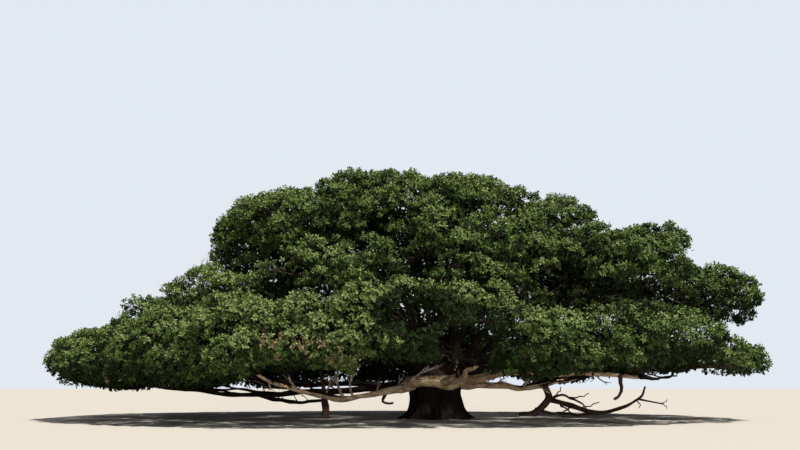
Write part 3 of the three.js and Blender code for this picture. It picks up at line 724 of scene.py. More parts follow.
def bark_material(name, tones, fissure_scale, patch_scale, bump, grained=True, band_tones=None, heights=()):
    """Bark: pale wood with brown patches and dark fissures along the grain, rough and dry. Other tones can
    take over in a band of heights."""
    material, tree, shader = new_material(name)
    link = tree.links.new
    place = new_node(tree, "ShaderNodeTexCoord").outputs["Object"]
    grain = place
    if grained:
        grain = new_node(tree, "ShaderNodeAttribute", attribute_name="grain").outputs["Vector"]
    weather = new_node(tree, "ShaderNodeGroup", node_tree=bpy.data.node_groups["bark_weathering"])
    weather.inputs["Fissure Scale"].default_value = fissure_scale
    weather.inputs["Patch Scale"].default_value = patch_scale
    link(grain, weather.inputs["Grain"])
    link(place, weather.inputs["Place"])
    colour = bark_colour(tree, weather, *tones)
    if band_tones:
        colour = banded_colour(tree, place, colour, bark_colour(tree, weather, *band_tones), heights)
    link(colour, shader.inputs["Base Color"])
    rough = new_node(tree, "ShaderNodeMapRange", To_Min=0.7, To_Max=0.95)
    link(weather.outputs["Grit"], rough.inputs["Value"])
    link(rough.outputs["Result"], shader.inputs["Roughness"])
    shader.inputs["Specular IOR Level"].default_value = BARK_SHEEN
    relief = new_node(tree, "ShaderNodeBump", Strength=bump, Distance=BARK_DEPTH)
    link(weather.outputs["Height"], relief.inputs["Height"])
    link(relief.outputs["Normal"], shader.inputs["Normal"])
    return material


def leaf_material(name, leaf, varied, sheen):
    """A leaf: one plain tone, varied a little from place to place, with a soft waxy sheen."""
    material, tree, shader = new_material(name)
    place = new_node(tree, "ShaderNodeTexCoord").outputs["Object"]
    tone = new_node(tree, "ShaderNodeGroup", node_tree=bpy.data.node_groups["leaf_tone"])
    tone.inputs["Leaf"].default_value = (*leaf, 1)
    tone.inputs["Varied"].default_value = (*varied, 1)
    tree.links.new(place, tone.inputs["Place"])
    tree.links.new(tone.outputs["Colour"], shader.inputs["Base Color"])
    tree.links.new(tone.outputs["Roughness"], shader.inputs["Roughness"])
    shader.inputs["Specular IOR Level"].default_value = sheen
    return material


bark_weathering()
leaf_tone_group()
# The trunk's bark is near black with painted shade, and pale with painted sunlight in a band of heights at
# its head.
TRUNK_SHADE_AND_SUN_BARK = bark_material("trunk_bark_painted_shade_and_sun", COLUMN_SHADE_TONES, 5.0, 1.4, 0.8, band_tones=SUNLIT_TONES,
                           heights=TRUNK_SUNLIT)
SUNLIT_BARK = bark_material("sunlit_bark", SUNLIT_TONES, 9.0, 1.8, 0.6)
SHADED_BARK = bark_material("shaded_bark", SHADED_TONES, 9.0, 1.8, 0.6)
RED_BARK = bark_material("red_bark", RED_TONES, 9.0, 2.2, 0.6)
DEAD_WOOD = bark_material("dead_wood", DEAD_TONES, 14.0, 3.0, 0.5)
# The twigs' bark is brown, darkened further with painted shade.
TWIG_BROWN_AND_SHADE_BARK = bark_material("twig_bark_with_painted_shade", TWIG_BROWN_AND_SHADE_TONES, 20.0, 2.5, 0.3, grained=False)
# The leaf's tones: one green painted in four steps from deep shade to sunlight, with more sheen the more
# light is painted on it, and a dry tone of the leaf's own.
LEAF_TONES = [
    leaf_material("leaf_painted_dark_shade", (0.019, 0.033, 0.009), (0.013, 0.024, 0.008), 0.06),
    leaf_material("leaf_painted_half_shade", (0.064, 0.106, 0.024), (0.046, 0.080, 0.020), 0.15),
    leaf_material("leaf_painted_half_light", (0.108, 0.163, 0.038), (0.080, 0.127, 0.030), 0.2),
    leaf_material("leaf_painted_sunlight", (0.162, 0.212, 0.064), (0.125, 0.171, 0.050), 0.28),
    leaf_material("leaf_dry", (0.27, 0.24, 0.12), (0.16, 0.13, 0.065), 0.1),
]


def limb_radius(path, base, tip, sides, seed, collar):
    """Radii of a limb's rings: an even taper with a collar at the foot, long ridges that wind round it,
    gentle swellings along it, and a few knots, each a rounded bump."""
    distance = lengths_along(path)
    plain = between((base, tip), distance / distance[-1]) * (1 + collar * np.exp(-distance / COLLAR_LENGTH))
    angle = np.linspace(0, TURN, sides, endpoint=False)[None, :]
    s = distance[:, None]
    ridges = sum(height * np.sin(waves * angle + twist * s + turned * seed)
                 for waves, twist, turned, height in RIDGES)
    swellings = sum(height * np.sin(waves * s + shift * seed) for waves, shift, height in SWELLINGS)
    knots = np.zeros_like(ridges)
    for k in range(max(KNOTS["least"], int(distance[-1] / KNOTS["apart"]))):
        where = distance[-1] * (0.08 + 0.84 * chance(k, seed + 0.5))
        facing = TURN * chance(k, seed + 0.7)
        turned = np.angle(np.exp(1j * (angle - facing)))
        size = KNOTS["size"] + KNOTS["varied"] * chance(k, seed + 0.9)
        bump = np.exp(-((s - where) / KNOTS["along"]) ** 2 - (turned / KNOTS["round"]) ** 2)
        knots = knots + size * bump
    return plain[:, None] * (1 + ridges + swellings + knots)


def wavy(path, amount, seed):
    """A path swung from side to side and up and down by slow waves that vanish at both ends."""
    share = np.linspace(0, 1, len(path))[:, None]
    chord = unit(path[-1] - path[0])
    level = unit(np.cross(UP, chord) + 1e-6)
    lift = np.cross(chord, level)
    fade = np.sin(math.pi * share) ** 0.6
    sideways = np.sin(TURN * 1.6 * share + seed) + 0.5 * np.sin(TURN * 3.7 * share + 2 * seed)
    upwards = np.sin(TURN * 2.1 * share + 3 * seed) + 0.4 * np.sin(TURN * 4.9 * share + seed)
    return path + amount * fade * (level * sideways + 0.7 * lift * upwards)


def limb(path, base, tip, sides, seed, collar=COLLAR_SWELL, step=0.16, sway=0.0):
    """One tapering limb with bark relief along a path, with a ring about every step."""
    rings = max(8, int(lengths_along(path)[-1] / step))
    path = wavy(resample(path, rings), sway, seed)
    return carried_tube(path, limb_radius(path, base, tip, sides, seed, collar))


def column_radius(z):
    """The trunk's plain radius at a height: a flared foot, a waist, and a head that closes in above the
    fork."""
    foot = TRUNK_FOOT["flare"] * np.exp(-z / TRUNK_FOOT["rise"])
    bell = np.exp(-((z - TRUNK_HEAD["height"]) / TRUNK_HEAD["depth"]) ** 2)
    head = (TRUNK_HEAD["radius"] - TRUNK_WAIST) * bell
    above = np.maximum(0, z - TRUNK_HEAD["height"]) / (TRUNK_HEIGHT - TRUNK_HEAD["height"])
    return (TRUNK_WAIST + foot + head) * (1 - TRUNK_HEAD["closing"] * above ** 2)


def trunk_relief(angle, z):
    """What the trunk's relief adds to its radius, as a share: rounded flutes, each a wave of the bearing,
    sharp creases between them, each a bell over its valley, finer ribs, which are waves that wind as they
    rise, and hummocks that grow towards the head, a product of waves round the trunk and up it."""
    phase = FLUTES["count"] * angle + FLUTES["uneven"] * np.sin(2 * angle)
    flutes = FLUTES["depth"] * np.cos(phase)
    valley = np.angle(np.exp(1j * (phase + math.pi + CREASES["twist"] * z)))
    creases = -CREASES["depth"] * np.exp(-(np.abs(valley) / CREASES["width"]) ** 2)
    ribs = RIBS["coarse"] * np.sin(31 * angle + 3 * np.sin(3 * angle + z) + 1.1 * z)
    ribs = ribs + RIBS["fine"] * np.sin(53 * angle - 2.3 * z + 4 * np.sin(5 * angle))
    hummocks = HUMMOCKS["height"] * np.sin(7 * angle + 2 * z) * np.sin(3.1 * z + 2 * np.sin(3 * angle))
    hummocks = hummocks * np.clip((z - HUMMOCKS["start"]) / HUMMOCKS["growth"], 0, 1)
    return flutes + creases + ribs + hummocks


def root_flare(angle, z):
    """How far the buttress roots stand out: round each bearing, a ridge that falls off to both sides and with
    the height, and winds a little."""
    flare = np.zeros_like(angle * z)
    for i, degrees in enumerate(ROOTS["bearings"]):
        away = np.angle(np.exp(1j * (angle - math.radians(degrees) - 0.06 * np.sin(4 * z))))
        length = ROOTS["length"] * (0.7 + 0.6 * chance(i, 5))
        ridge = np.exp(-(np.abs(away) / ROOTS["width"]) ** 1.6)
        flare = flare + length * ridge * np.exp(-z / ROOTS["rise"])
    return flare


def make_trunk():
    """The trunk: rings up to its height, closer near the ground, at the plain column's radius with its relief
    and roots, leaning as it rises, and closed on a pole at each end."""
    sides, rows = TRUNK_GRID["sides"], TRUNK_GRID["rows"]
    angle = np.linspace(0, TURN, sides, endpoint=False)[None, :]
    z = (np.linspace(0, 1, rows) ** TRUNK_GRID["crowding"] * TRUNK_HEIGHT)[:, None]
    radius = column_radius(z) * (1 + trunk_relief(angle, z)) + root_flare(angle, z)
    x = radius * np.cos(angle) + TRUNK_HEAD["lean"] * z / TRUNK_HEIGHT
    y = radius * np.sin(angle)
    points = np.stack([x, y, np.broadcast_to(z, x.shape)], axis=2).reshape(-1, 3)
    top = [TRUNK_HEAD["lean"], 0, TRUNK_HEIGHT + TRUNK_HEAD["pole"]]
    points = np.vstack([points, [[0, 0, 0]], [top]])
    round_x, round_y = TRUNK_GRAIN * np.cos(angle), TRUNK_GRAIN * np.sin(angle)
    grain = np.stack([round_x + 0 * z, round_y + 0 * z, GRAIN_STRETCH * z + 0 * angle], axis=2)
    grain = np.vstack([grain.reshape(-1, 3), [[0, 0, 0]], [[0, 0, GRAIN_STRETCH * TRUNK_HEIGHT]]])
    add_piece("fluted_trunk", points, tube_faces(rows, sides), [TRUNK_SHADE_AND_SUN_BARK], ["trunk"], grain)


def side_limbs(handles, pair, rule, seed):
    """Limbs that leave a bough to left and right in turn and rise into its two masses. Each is a path of one
    bend that starts along the bough and bends up to a point near the mass's fork."""
    parts = []
    for k in range(SIDE_LIMBS["count"]):
        share = SIDE_LIMBS["first"] + SIDE_LIMBS["step"] * k
        start = bezier(handles, [share])[0]
        ahead = unit(bezier(handles, [share + 0.02])[0] - start)
        target = pair[k % 2]["fork"] + loose_offset((k, k + 9, k + 17), seed, 0.3)
        span = np.linalg.norm(target - start)
        middle = start + ahead * span * 0.35 + (target - start) * 0.2
        thick = between((rule["base"], rule["tip"]), share) * SIDE_LIMBS["girth"]
        parts.append(limb(bent_path(start, middle, target, 20), thick, SIDE_LIMBS["tip"], sides=9,
                          seed=seed + 0.31 * k, collar=0.2, step=0.22, sway=0.10))
    return parts


def bare_spurs(start, way, radius, seed, levels):
    """A dead twig that forks: a bent stem along a way, and from its upper half shorter stems that fork in
    turn."""
    length = np.linalg.norm(way)
    bend = loose_offset((1, 2, 3), seed, 0.4) * length * SPUR_SHARE["bend"]
    t = np.linspace(0, 1, 7)[:, None]
    path = start + way * t + bend * np.sin(math.pi * t)
    taper = np.linspace(radius, radius * SPUR_TAPER, 7)[:, None] * np.ones((1, 6))
    parts = [carried_tube(path, taper)]
    if levels > 0:
        for k in range(3):
            off = SPUR_SHARE["turn"] * loose_offset((k + 4, k + 8, k + 12), seed, 0.7)
            turned = unit(way / length + off) * length * SPUR_SHARE["length"]
            parts += bare_spurs(path[3 + k], turned, radius * SPUR_SHARE["radius"], seed + 1.7 * k + 0.9,
                                levels - 1)
    return parts


def bough_parts(rule, pair, handles, girth, seed):
    """A bough, its side limbs, and the stems from its tip to the forks of its two masses."""
    path = bezier(handles, np.linspace(0, 1, 80))
    parts = [limb(path, rule["base"] * girth, rule["tip"] * girth, sides=22, seed=seed, sway=0.11)]
    parts += side_limbs(handles, pair, rule, seed)
    for mass, way in zip(pair, (1, -1)):
        tip = handles[3] + way * TIP_STEMS["apart"] * unit(pair[0]["hub"] - pair[1]["hub"])
        leaving = tip + unit(handles[3] - handles[2]) * TIP_STEMS["ahead"]
        rising = mass["fork"] - UP * TIP_STEMS["below"]
        stem = bezier((tip, leaving, rising, mass["fork"]), np.linspace(0, 1, 14))
        parts.append(limb(stem, TIP_STEMS["base"], TIP_STEMS["tip"], sides=9, seed=seed + way, collar=0.1,
                          step=0.22, sway=0.05))
    return parts


def make_limbs():
    """Every bough with what grows from it. A sunlit bough's main limb has the first bark, pale with painted
    sunlight, and all else has the second, dark with painted shade. Returns the boughs' handles, and points
    along them with their radii, which leaves keep clear of."""
    marks = []
    handles_of = {}
    for tier, rule in BOUGHS.items():
        ring = [mass for mass in MASSES if mass["tier"] == tier]
        for i, pair in enumerate(zip(ring[::2], ring[1::2])):
            name = f"{tier}_bough_{i + 1}"
            handles = bough_handles(rule, *pair, i)
            handles_of[name] = handles
            girth = SUNLIT_BOUGHS.get(name, SHADED_GIRTH)
            parts = bough_parts(rule, pair, handles, girth, pair[0]["seed"] + 0.37)
            kinds = [int(name not in SUNLIT_BOUGHS)] + [1] * (len(parts) - 1)
            tones = np.concatenate([np.full(len(part[group]), kind)
                                    for group in (1, 2) for part, kind in zip(parts, kinds)])
            points, quads, caps, grain = join(parts)
            add_piece(f"{name}_bark", points, [quads, caps], [SUNLIT_BARK, SHADED_BARK], [name],
                      grain, tones)
            along = np.linspace(0, 1, 60)
            radius = between((rule["base"], rule["tip"]), along)
            marks.append(np.column_stack([bezier(handles, along), radius]))
    return handles_of, np.vstack(marks)


def add_limbs(name, parts, bark, stands_for=()):
    """Joined limbs of one bark as a piece that stays on or above the ground."""
    points, quads, caps, grain = join(parts)
    points[:, 2] = np.maximum(points[:, 2], 0.0)
    add_piece(name, points, [quads, caps], [bark], stands_for, grain)


def make_prop(handles):
    """The stem under the left bough, which leans as it rises, the bare arms over it, and the low limb that
    sags from the bough back to it."""
    top = bough_at(handles, PROP["x"])
    foot = np.array([top[0] + PROP["offset"], top[1], 0.0])
    middle = np.array([foot[0], foot[1], top[2] / 2])
    stem = limb(bent_path(foot, middle, top, 30), PROP["foot"] * 0.8, PROP["neck"], sides=18, seed=3.3,
                collar=0.5, step=0.08)
    add_limbs("left_prop_stem_bark", [stem], RED_BARK, ["left_prop_stem"])
    arms = [limb(smooth_path(way, 12), base, tip, sides=10, seed=4.1 + k, collar=0.2, step=0.1, sway=0.04)
            for k, (base, tip, way) in enumerate(PROP_ARMS)]
    add_limbs("left_prop_arms_bark", arms, RED_BARK)
    way = smooth_path((bough_at(handles, LOW_LIMB["start"]), *LOW_LIMB["way"]), 40)
    parts = [limb(way, LOW_LIMB["base"], LOW_LIMB["tip"], sides=14, seed=2.7, collar=0.1, step=0.12,
                  sway=0.05)]
    for k in range(LOW_LIMB["twigs"]):
        rise = LOW_LIMB["twig_length"] * np.array([swing(k, 8), 0.3 * swing(k, 9), 0.9])
        parts += bare_spurs(way[6 + 6 * k], rise, LOW_LIMB["twig_radius"], k, 1)
    # The low limb and its twigs are dark with painted shade.
    add_limbs("left_low_limb_bark", parts, SHADED_BARK)


def make_ground_limb(handles):
    """The limb that rises from a foot on the ground to its bough, with a long stretch that falls to the
    ground and rises again, a side twig, and a tangle of broken branches where it lies."""
    top = bough_at(handles, GROUND_LIMB["x"])
    start = np.array([top[0], top[1], 0.0])

    def place(name):
        return start + np.array(GROUND_LIMB[name])

    base, middle, tip = GROUND_LIMB["base"], GROUND_LIMB["middle"], GROUND_LIMB["tip"]
    rise = smooth_path([place("foot"), place("root"), place("elbow"), top], 40)
    fall = smooth_path([place("elbow"), place("landing"), place("rising"), place("end")], 80)
    twig = smooth_path([place("rising"), place("twig_end")], 16)
    add_limbs("right_ground_limb_bark", [
        limb(rise, base * 0.9, middle, sides=16, seed=5.1, collar=0.0, step=0.1),
        limb(fall, middle, tip * 0.7, sides=14, seed=6.2, collar=0.0, step=0.12, sway=0.05),
        limb(twig, tip * 0.7, tip * 0.4, sides=8, seed=7.3, collar=0.0, step=0.12),
    ], RED_BARK, ["right_ground_limb"])
    branches = [limb(smooth_path(start + np.array(way), 16), radius, radius * 0.5, sides=9, seed=9.1 + k,
                     collar=0.1, step=0.1, sway=0.06) for k, (radius, way) in enumerate(GROUND_TWIGS)]
    add_limbs("right_ground_branches_bark", branches, RED_BARK)


def make_spurs(handles_of):
    """Dead bare twigs on the low boughs, the stubs that hang from them, and the ridge where they meet."""
    parts = []
    for k, (bough, x, way, radius, levels) in enumerate(DEAD_TWIGS):
        start = bough_at(handles_of[f"skirt_bough_{bough}"], x)
        parts += bare_spurs(start, np.array(way), DEAD_TWIG_GIRTH * radius, 11.0 * bough + k, levels)
    add_limbs("dead_twigs", parts, DEAD_WOOD)
    stubs = []
    for bough, x, radius, way in HANGING_STUBS:
        path = smooth_path(bough_at(handles_of[f"skirt_bough_{bough}"], x) + np.array(way), 16)
        stubs.append(limb(path, radius, radius * 0.6, sides=14, seed=1.9 * bough, collar=0.1, step=0.1,
                          sway=0.04))
    add_limbs("hanging_stubs", stubs, RED_BARK)
    ridge = limb(smooth_path(SADDLE, 40), SADDLE_RADIUS, SADDLE_RADIUS * 0.9, sides=22, seed=4.4, collar=0.0,
                 step=0.08, sway=0.05)
    add_limbs("fork_saddle", [ridge], SUNLIT_BARK)


def cap_directions(axes, count, widest, seed):
    """Directions spread evenly over a cap round each axis: the golden angle turns them, and their rise falls
    in even steps from the axis to the cosine of the widest angle."""
    rise = 1 - (1 - widest) * (np.arange(count) + 0.5) / count
    turn = np.arange(count) * GOLDEN_ANGLE + TURN * chance(np.arange(len(axes)), seed)[:, None]
    across, square = square_frame(axes)
    level = np.sqrt(1 - rise ** 2)
    return (axes[:, None] * rise[None, :, None]
            + across[:, None] * (level * np.cos(turn))[..., None]
            + square[:, None] * (level * np.sin(turn))[..., None])


def arm_directions(mass, count):
    """Directions of a mass's arms: the golden angle turns them and their rise climbs in even steps, stretched
    as the mass is, so that their ends lie evenly over it."""
    i = np.arange(count)
    rise = ARM_LOWEST + (ARM_HIGHEST - ARM_LOWEST) * (i + 0.5) / count
    turn = i * GOLDEN_ANGLE + TURN * chance(6, mass["seed"])
    level = np.sqrt(1 - rise ** 2)
    upright = np.where(rise < 0, mass["reach_down"], mass["reach_up"]) * rise
    return unit(mass["side"] * (mass["reach_side"] * level * np.cos(turn))[:, None]
                + mass["out"] * (mass["reach_out"] * level * np.sin(turn))[:, None] + UP * upright[:, None])


def seam_swell(points):
    """How far the crown swells out where two masses meet: a bell over the difference of a point's distances
    to its two nearest hubs, and nothing on the underside. Also the index of the nearest mass."""
    distance = np.linalg.norm(points[:, None] - HUBS[None], axis=2)
    nearest = distance.argmin(axis=1)
    two = np.partition(distance, 1, axis=1)[:, :2]
    most = np.array([SEAM_SWELL[mass["tier"]] for mass in MASSES])[nearest]
    rise = unit(points - HUBS[nearest])[:, 2]
    return most * np.exp(-((two[:, 1] - two[:, 0]) / SEAM_WIDTH) ** 2) * np.clip(1 + 2 * rise, 0, 1), nearest


def drawn_in(points, inset):
    """Points beyond the crown's reach drawn back to just inside it, and how far each was drawn. A point
    belongs to the mass with the nearest hub, and is drawn towards that hub."""
    swell, nearest = seam_swell(points)
    offset = points - HUBS[nearest]
    distance = np.linalg.norm(offset, axis=1)
    reach = np.zeros(len(points))
    for number in np.unique(nearest):
        held = nearest == number
        reach[held] = own_reach(MASSES[number], unit(offset[held]))
    drawn = np.maximum(0, distance - (reach + swell - inset))
    return points - offset * (drawn / distance)[:, None], drawn


def in_hollow(points, shaded=False):
    """Which points lie in one of the crown's open places, each an ellipsoid, or within the rim round it that
    gets painted shade.
    """
    inside = np.zeros(len(points), bool)
    for middle, half, shade in HOLLOWS:
        wider = np.array(half) * (shade if shaded else 1.0)
        inside |= (((points - np.array(middle)) / wider) ** 2).sum(axis=1) < 1
    return inside


def lumps_of(mass, filling):
    """One mass's lumps, large or filling: one at the end of each arm, sunk by a seeded part and swollen out
    over the seams. Those that lie in a neighbour's space are left out. Returns their places, their radii, the
    ways they face, the mass's seed and their spacing."""
    arms = arm_directions(mass, FILL_ARMS if filling else ARM_COUNT)
    i = np.arange(len(arms))
    size = between(FILL_RADIUS if filling else LUMP_RADIUS[mass["tier"]], chance(i, mass["seed"] + 0.2))
    girth = size * np.hypot(np.hypot(arms[:, 0], arms[:, 1]), LUMP_DEPTH * arms[:, 2])
    sunk = LUMP_SUNK * chance(i, mass["seed"] + 0.25) ** 2
    far = own_reach(mass, arms) - LUMP_INSET[mass["tier"]] - girth - sunk
    far = far + seam_swell(mass["hub"] + arms * far[:, None])[0]
    steepest, lift = LUMP_FACING
    facing = unit(arms + np.where(arms[:, 2:] < steepest, 0.0, lift) * UP)
    owner = np.full(len(arms), mass["seed"])
    spacing = np.full(len(arms), FILL_SPACING if filling else LUMP_SPACING)
    held = far < LUMP_BEYOND * plane_reach(mass, arms)
    return [part[held] for part in (mass["hub"] + arms * far[:, None], size, facing, owner, spacing)]


def place_lumps():
    """The crown's lumps, inside the box of the solids: first those of the corners, then the masses' large
    ones in a seeded order, then the filling ones. A lump that crowds one placed before it, or lies in an open
    place, is left out."""
    corners = np.array([place for place, _ in CORNER_LUMPS])
    outwards = unit((corners - HUBS.mean(axis=0)) * np.array([1, 1, 0]))
    sets = [[corners, np.array([size for _, size in CORNER_LUMPS]), unit(outwards + UP),
             seam_swell(corners)[1] + 1, np.zeros(len(corners))]]
    sets += [lumps_of(mass, filling) for filling in (False, True) for mass in MASSES]
    places, sizes, facings, owners, spacings = (np.concatenate(part) for part in zip(*sets))
    room = sizes[:, None] * FLATTENED + LUMP_ROOM
    places = np.clip(places, np.array(cad_box[0]) + room, np.array(cad_box[1]) - room)
    flat = places / FLATTENED
    kept = []
    order = chance(np.arange(len(places)), 0.6) + 2 * (spacings == FILL_SPACING)
    order[:len(CORNER_LUMPS)] = -1
    for n in np.argsort(order):
        near = np.linalg.norm(flat[kept] - flat[n], axis=1)
        if (near > spacings[n] * (sizes[kept] + sizes[n])).all():
            kept.append(n)
    kept = np.sort(kept)
    kept = kept[~in_hollow(places[kept])]
    return places[kept], sizes[kept], facings[kept], owners[kept]


def grow(mass, lumps, marks):
    """One mass's skeleton: twigs fan out in each of its lumps to tufts, and each tuft is a dome of sprays.
    Sprays far beyond the crown's reach, in an open place, under another lump's cover or too near a limb are
    left out."""
    places, sizes, facings, owners = lumps
    seed = mass["seed"]
    own = np.flatnonzero(owners == seed)
    ways = cap_directions(facings[own], TUFTS_PER_LUMP, TUFTS["widest"], seed + 0.3).reshape(-1, 3)
    lump = np.repeat(own, TUFTS_PER_LUMP)
    n = np.arange(len(ways))
    tuft = TUFTS["share"] * sizes[lump] * (TUFTS["least"] + TUFTS["varied"] * chance(n, seed + 0.35))
    out = sizes[lump] - TUFTS["sunk"] * tuft + TUFTS["loose"] * swing(n, seed + 0.4)
    tufts = places[lump] + ways * FLATTENED * out[:, None]

    axes = unit(ways + SPRAYS["upturn"] * UP)
    fans = cap_directions(axes, SPRAYS_PER_TUFT, SPRAYS["widest"], seed + 0.5).reshape(-1, 3)
    of_tuft = np.repeat(n, SPRAYS_PER_TUFT)
    m = np.arange(len(fans))
    far = tuft[of_tuft] * (SPRAYS["least"] + SPRAYS["varied"] * chance(m, seed + 0.6))
    sprays, drawn = drawn_in(tufts[of_tuft] + fans * far[:, None], SPRAY_INSET)

    kept = (drawn < SPRAY_DRAWN) & (chance(m, seed + 0.65) < (tuft[of_tuft] / FULL_TUFT) ** 2)
    kept &= ~in_hollow(sprays)
    near = np.flatnonzero(np.linalg.norm(places - mass["hub"], axis=1) < LUMP_NEARBY)
    apart = np.linalg.norm((sprays[:, None] - places[near][None]) / FLATTENED, axis=2) / sizes[near][None]
    apart[near[None] == lump[of_tuft][:, None]] = np.inf
    kept &= apart.min(axis=1) > LUMP_COVER
    gap = np.linalg.norm(sprays[:, None] - marks[None, :, :3], axis=2) - marks[None, :, 3]
    kept &= gap.min(axis=1) > LIMB_GAP
    radius = sizes[lump[of_tuft]]
    # The level in its lump, lower in the small lumps, counts towards the light or shade painted on a spray.
    level = ((sprays - places[lump[of_tuft]]) / radius[:, None])[:, 2] / LUMP_DEPTH
    level -= FILL_SHADE * (radius < FILL_RADIUS[1])
    return dict(mass=mass, lumps=places[own], size=sizes[own], facing=facings[own], tufts=tufts,
                lump_of_tuft=np.repeat(np.arange(len(own)), TUFTS_PER_LUMP),
                sprays=sprays[kept], tuft_of_spray=of_tuft[kept], ways=fans[kept], level=level[kept])


def sky_light(sprays, ways):
    """How much light reaches each spray: along each direction of the sky the sprays in every cube on the way
    are added up, the light falls off exponentially with that sum, and the light of all directions is
    averaged, with more weight on those that the spray faces. Also the light of its clearest direction."""
    low = sprays.min(axis=0) - CUBE
    cubes = ((sprays - low) / CUBE).astype(int)
    shape = cubes.max(axis=0) + 2
    filled = np.zeros(shape)
    np.add.at(filled, tuple(cubes.T), 1.0)
    i = np.arange(SKY_DIRECTIONS)
    rise = 1 - (1 - SKY_LOWEST) * (i + 0.5) / SKY_DIRECTIONS
    level = np.sqrt(1 - rise ** 2)
    sky = np.stack([level * np.cos(i * GOLDEN_ANGLE), level * np.sin(i * GOLDEN_ANGLE), rise], axis=1)
    light = np.zeros(len(sprays))
    clearest = np.zeros(len(sprays))
    for direction in sky:
        crossed = np.zeros(len(sprays))
        for step in range(1, SKY_STEPS + 1):
            cube = ((sprays + direction * CUBE * step - low) / CUBE).astype(int)
            inside = ((cube >= 0) & (cube < shape)).all(axis=1)
            cube = np.clip(cube, 0, shape - 1)
            crossed += inside * filled[tuple(cube.T)]
        through = np.exp(-SKY_DIMMING * crossed)
        light += through * (SKY_EVEN_SHARE + np.maximum(0, ways @ direction))
        clearest = np.maximum(clearest, through)
    return light / SKY_DIRECTIONS, clearest


def of_all(trees, value):
    """One value of every tree's sprays, joined in order."""
    return np.concatenate([value(tree) for tree in trees])


def keep_lit_sprays(trees):
    """Only the sprays that see the most light stay, up to the crown's count, and each tree keeps their
    light."""
    light, clearest = sky_light(*(of_all(trees, lambda tree: tree[key]) for key in ("sprays", "ways")))
    worth = light + CLEAR_WEIGHT * clearest
    least = np.sort(worth)[-min(SPRAY_COUNT, len(light))]
    ends = np.cumsum([len(tree["sprays"]) for tree in trees])[:-1]
    for tree, own_light, own_worth in zip(trees, np.split(light, ends), np.split(worth, ends)):
        lit = own_worth >= least
        tree["light"] = own_light[lit]
        for key in ("sprays", "ways", "tuft_of_spray", "level"):
            tree[key] = tree[key][lit]


def deal_tones(trees):
    """The tone of each spray, which paints light and shade on it. Each spray has a score that adds how high
    it lies in its lump, how far it faces up, its rank in its mass by the light that reaches it, and a seeded
    part, with the lift of its tier and of the two bells. The shares of the tones cut the scores in order,
    from painted shade to painted sunlight. An open place's rim has the tone with the deepest painted shade,
    and a few small patches are dry."""
    sprays, ways, level = (of_all(trees, lambda tree: tree[key]) for key in ("sprays", "ways", "level"))
    n = np.arange(len(sprays))
    rank = of_all(trees, lambda tree: np.argsort(np.argsort(tree["light"])) / max(1, len(tree["light"])))
    lift = of_all(trees, lambda tree: np.full(len(tree["level"]), PAINTED_LIGHT_LIFT[tree["mass"]["tier"]]))
    skirted = of_all(trees, lambda tree: np.full(len(tree["level"]), tree["mass"]["tier"] == "skirt"))
    for (most, middle, width), share in ((SKIRT_LIGHT, skirted), (RIGHT_SHADE, 1.0)):
        lift = lift + share * most * np.exp(-((sprays[:, 0] - middle) / width) ** 2)
    score = (SCORE["level"] * level + SCORE["rise"] * ways[:, 2] + SCORE["rank"] * rank
             + SCORE["chance"] * swing(n, 0.7) + lift)
    cuts = np.quantile(score, np.cumsum(TONE_SHARES)[:-1])
    tone = np.searchsorted(cuts, score)
    tone[in_hollow(sprays, shaded=True)] = SHADE_TONE
    dry = np.zeros(len(sprays), bool)
    for middle, size in DRY_PATCHES:
        dry |= np.linalg.norm(sprays - np.array(middle), axis=1) < size
    tone[dry & (chance(n, 0.8) > DRY_GREEN_SHARE)] = DRY_TONE
    ends = np.cumsum([len(tree["sprays"]) for tree in trees])
    for tree, own in zip(trees, np.split(tone, ends[:-1])):
        tree["tone"] = own


def leaf_faces(count):
    """Two faces a leaf, that meet along its midrib, for leaves of four points: foot, left, tip and right."""
    first = np.arange(count)[:, None] * 4
    return np.stack([first + [0, 2, 1], first + [0, 3, 2]], axis=1).reshape(-1, 3)


def leaf_points(foot, along, normal, length):
    """Leaves from arrays of feet, directions, normals and lengths: broad below the middle, folded up along
    the midrib, with the tip bent down."""
    side = np.cross(normal, along)
    length = length[..., None]
    middle = foot + along * length * LEAF["broadest"] + normal * length * LEAF["fold"]
    half = side * LEAF["half_width"] * length
    tip = foot + along * length - normal * length * LEAF["bend"]
    return np.stack([foot, middle + half, tip, middle - half], axis=-2).reshape(-1, 3)


def leaf_sprays(sprays, ways, seeds):
    """Leaves in sprays. Each spray's leaves turn round its axis by the golden angle, the inner ones steep and
    the outer ones spread and drooping."""
    count = LEAVES_PER_SPRAY
    axis = unit(ways + SPRAY_AXIS["upturn"] * UP)
    across, square = square_frame(axis)
    k = np.arange(count)[None, :]
    seed = np.asarray(seeds, float)[:, None]
    turn = k * GOLDEN_ANGLE + TURN * chance(2, seed)
    opening = (LEAF_OPENING["first"] + LEAF_OPENING["spread"] * (k / (count - 1)) ** 0.8
               + LEAF_OPENING["loose"] * swing(k, seed + 0.3))
    wide = np.sin(np.radians(opening))[..., None]
    along = (axis[:, None] * np.cos(np.radians(opening))[..., None]
             + across[:, None] * np.cos(turn)[..., None] * wide
             + square[:, None] * np.sin(turn)[..., None] * wide)
    along = unit(along - SPRAY_AXIS["droop"] * UP)
    normal = axis[:, None] + SPRAY_AXIS["tilt"] * loose_offset((k + 40, k + 60, k + 80), seed)
    normal = unit(normal - along * (normal * along).sum(axis=2, keepdims=True))
    length = between(LEAF_LENGTH, chance(k + 20, seed))
    foot = sprays[:, None] + axis[:, None] * (SPRAY_AXIS["stalk"] * (0.5 - k / count))[..., None]
    aside = (across[:, None] * swing(k + 100, seed)[..., None]
             + square[:, None] * swing(k + 120, seed)[..., None])
    foot = foot + SPRAY_AXIS["aside"] * aside
    return leaf_points(foot, along, normal, length)


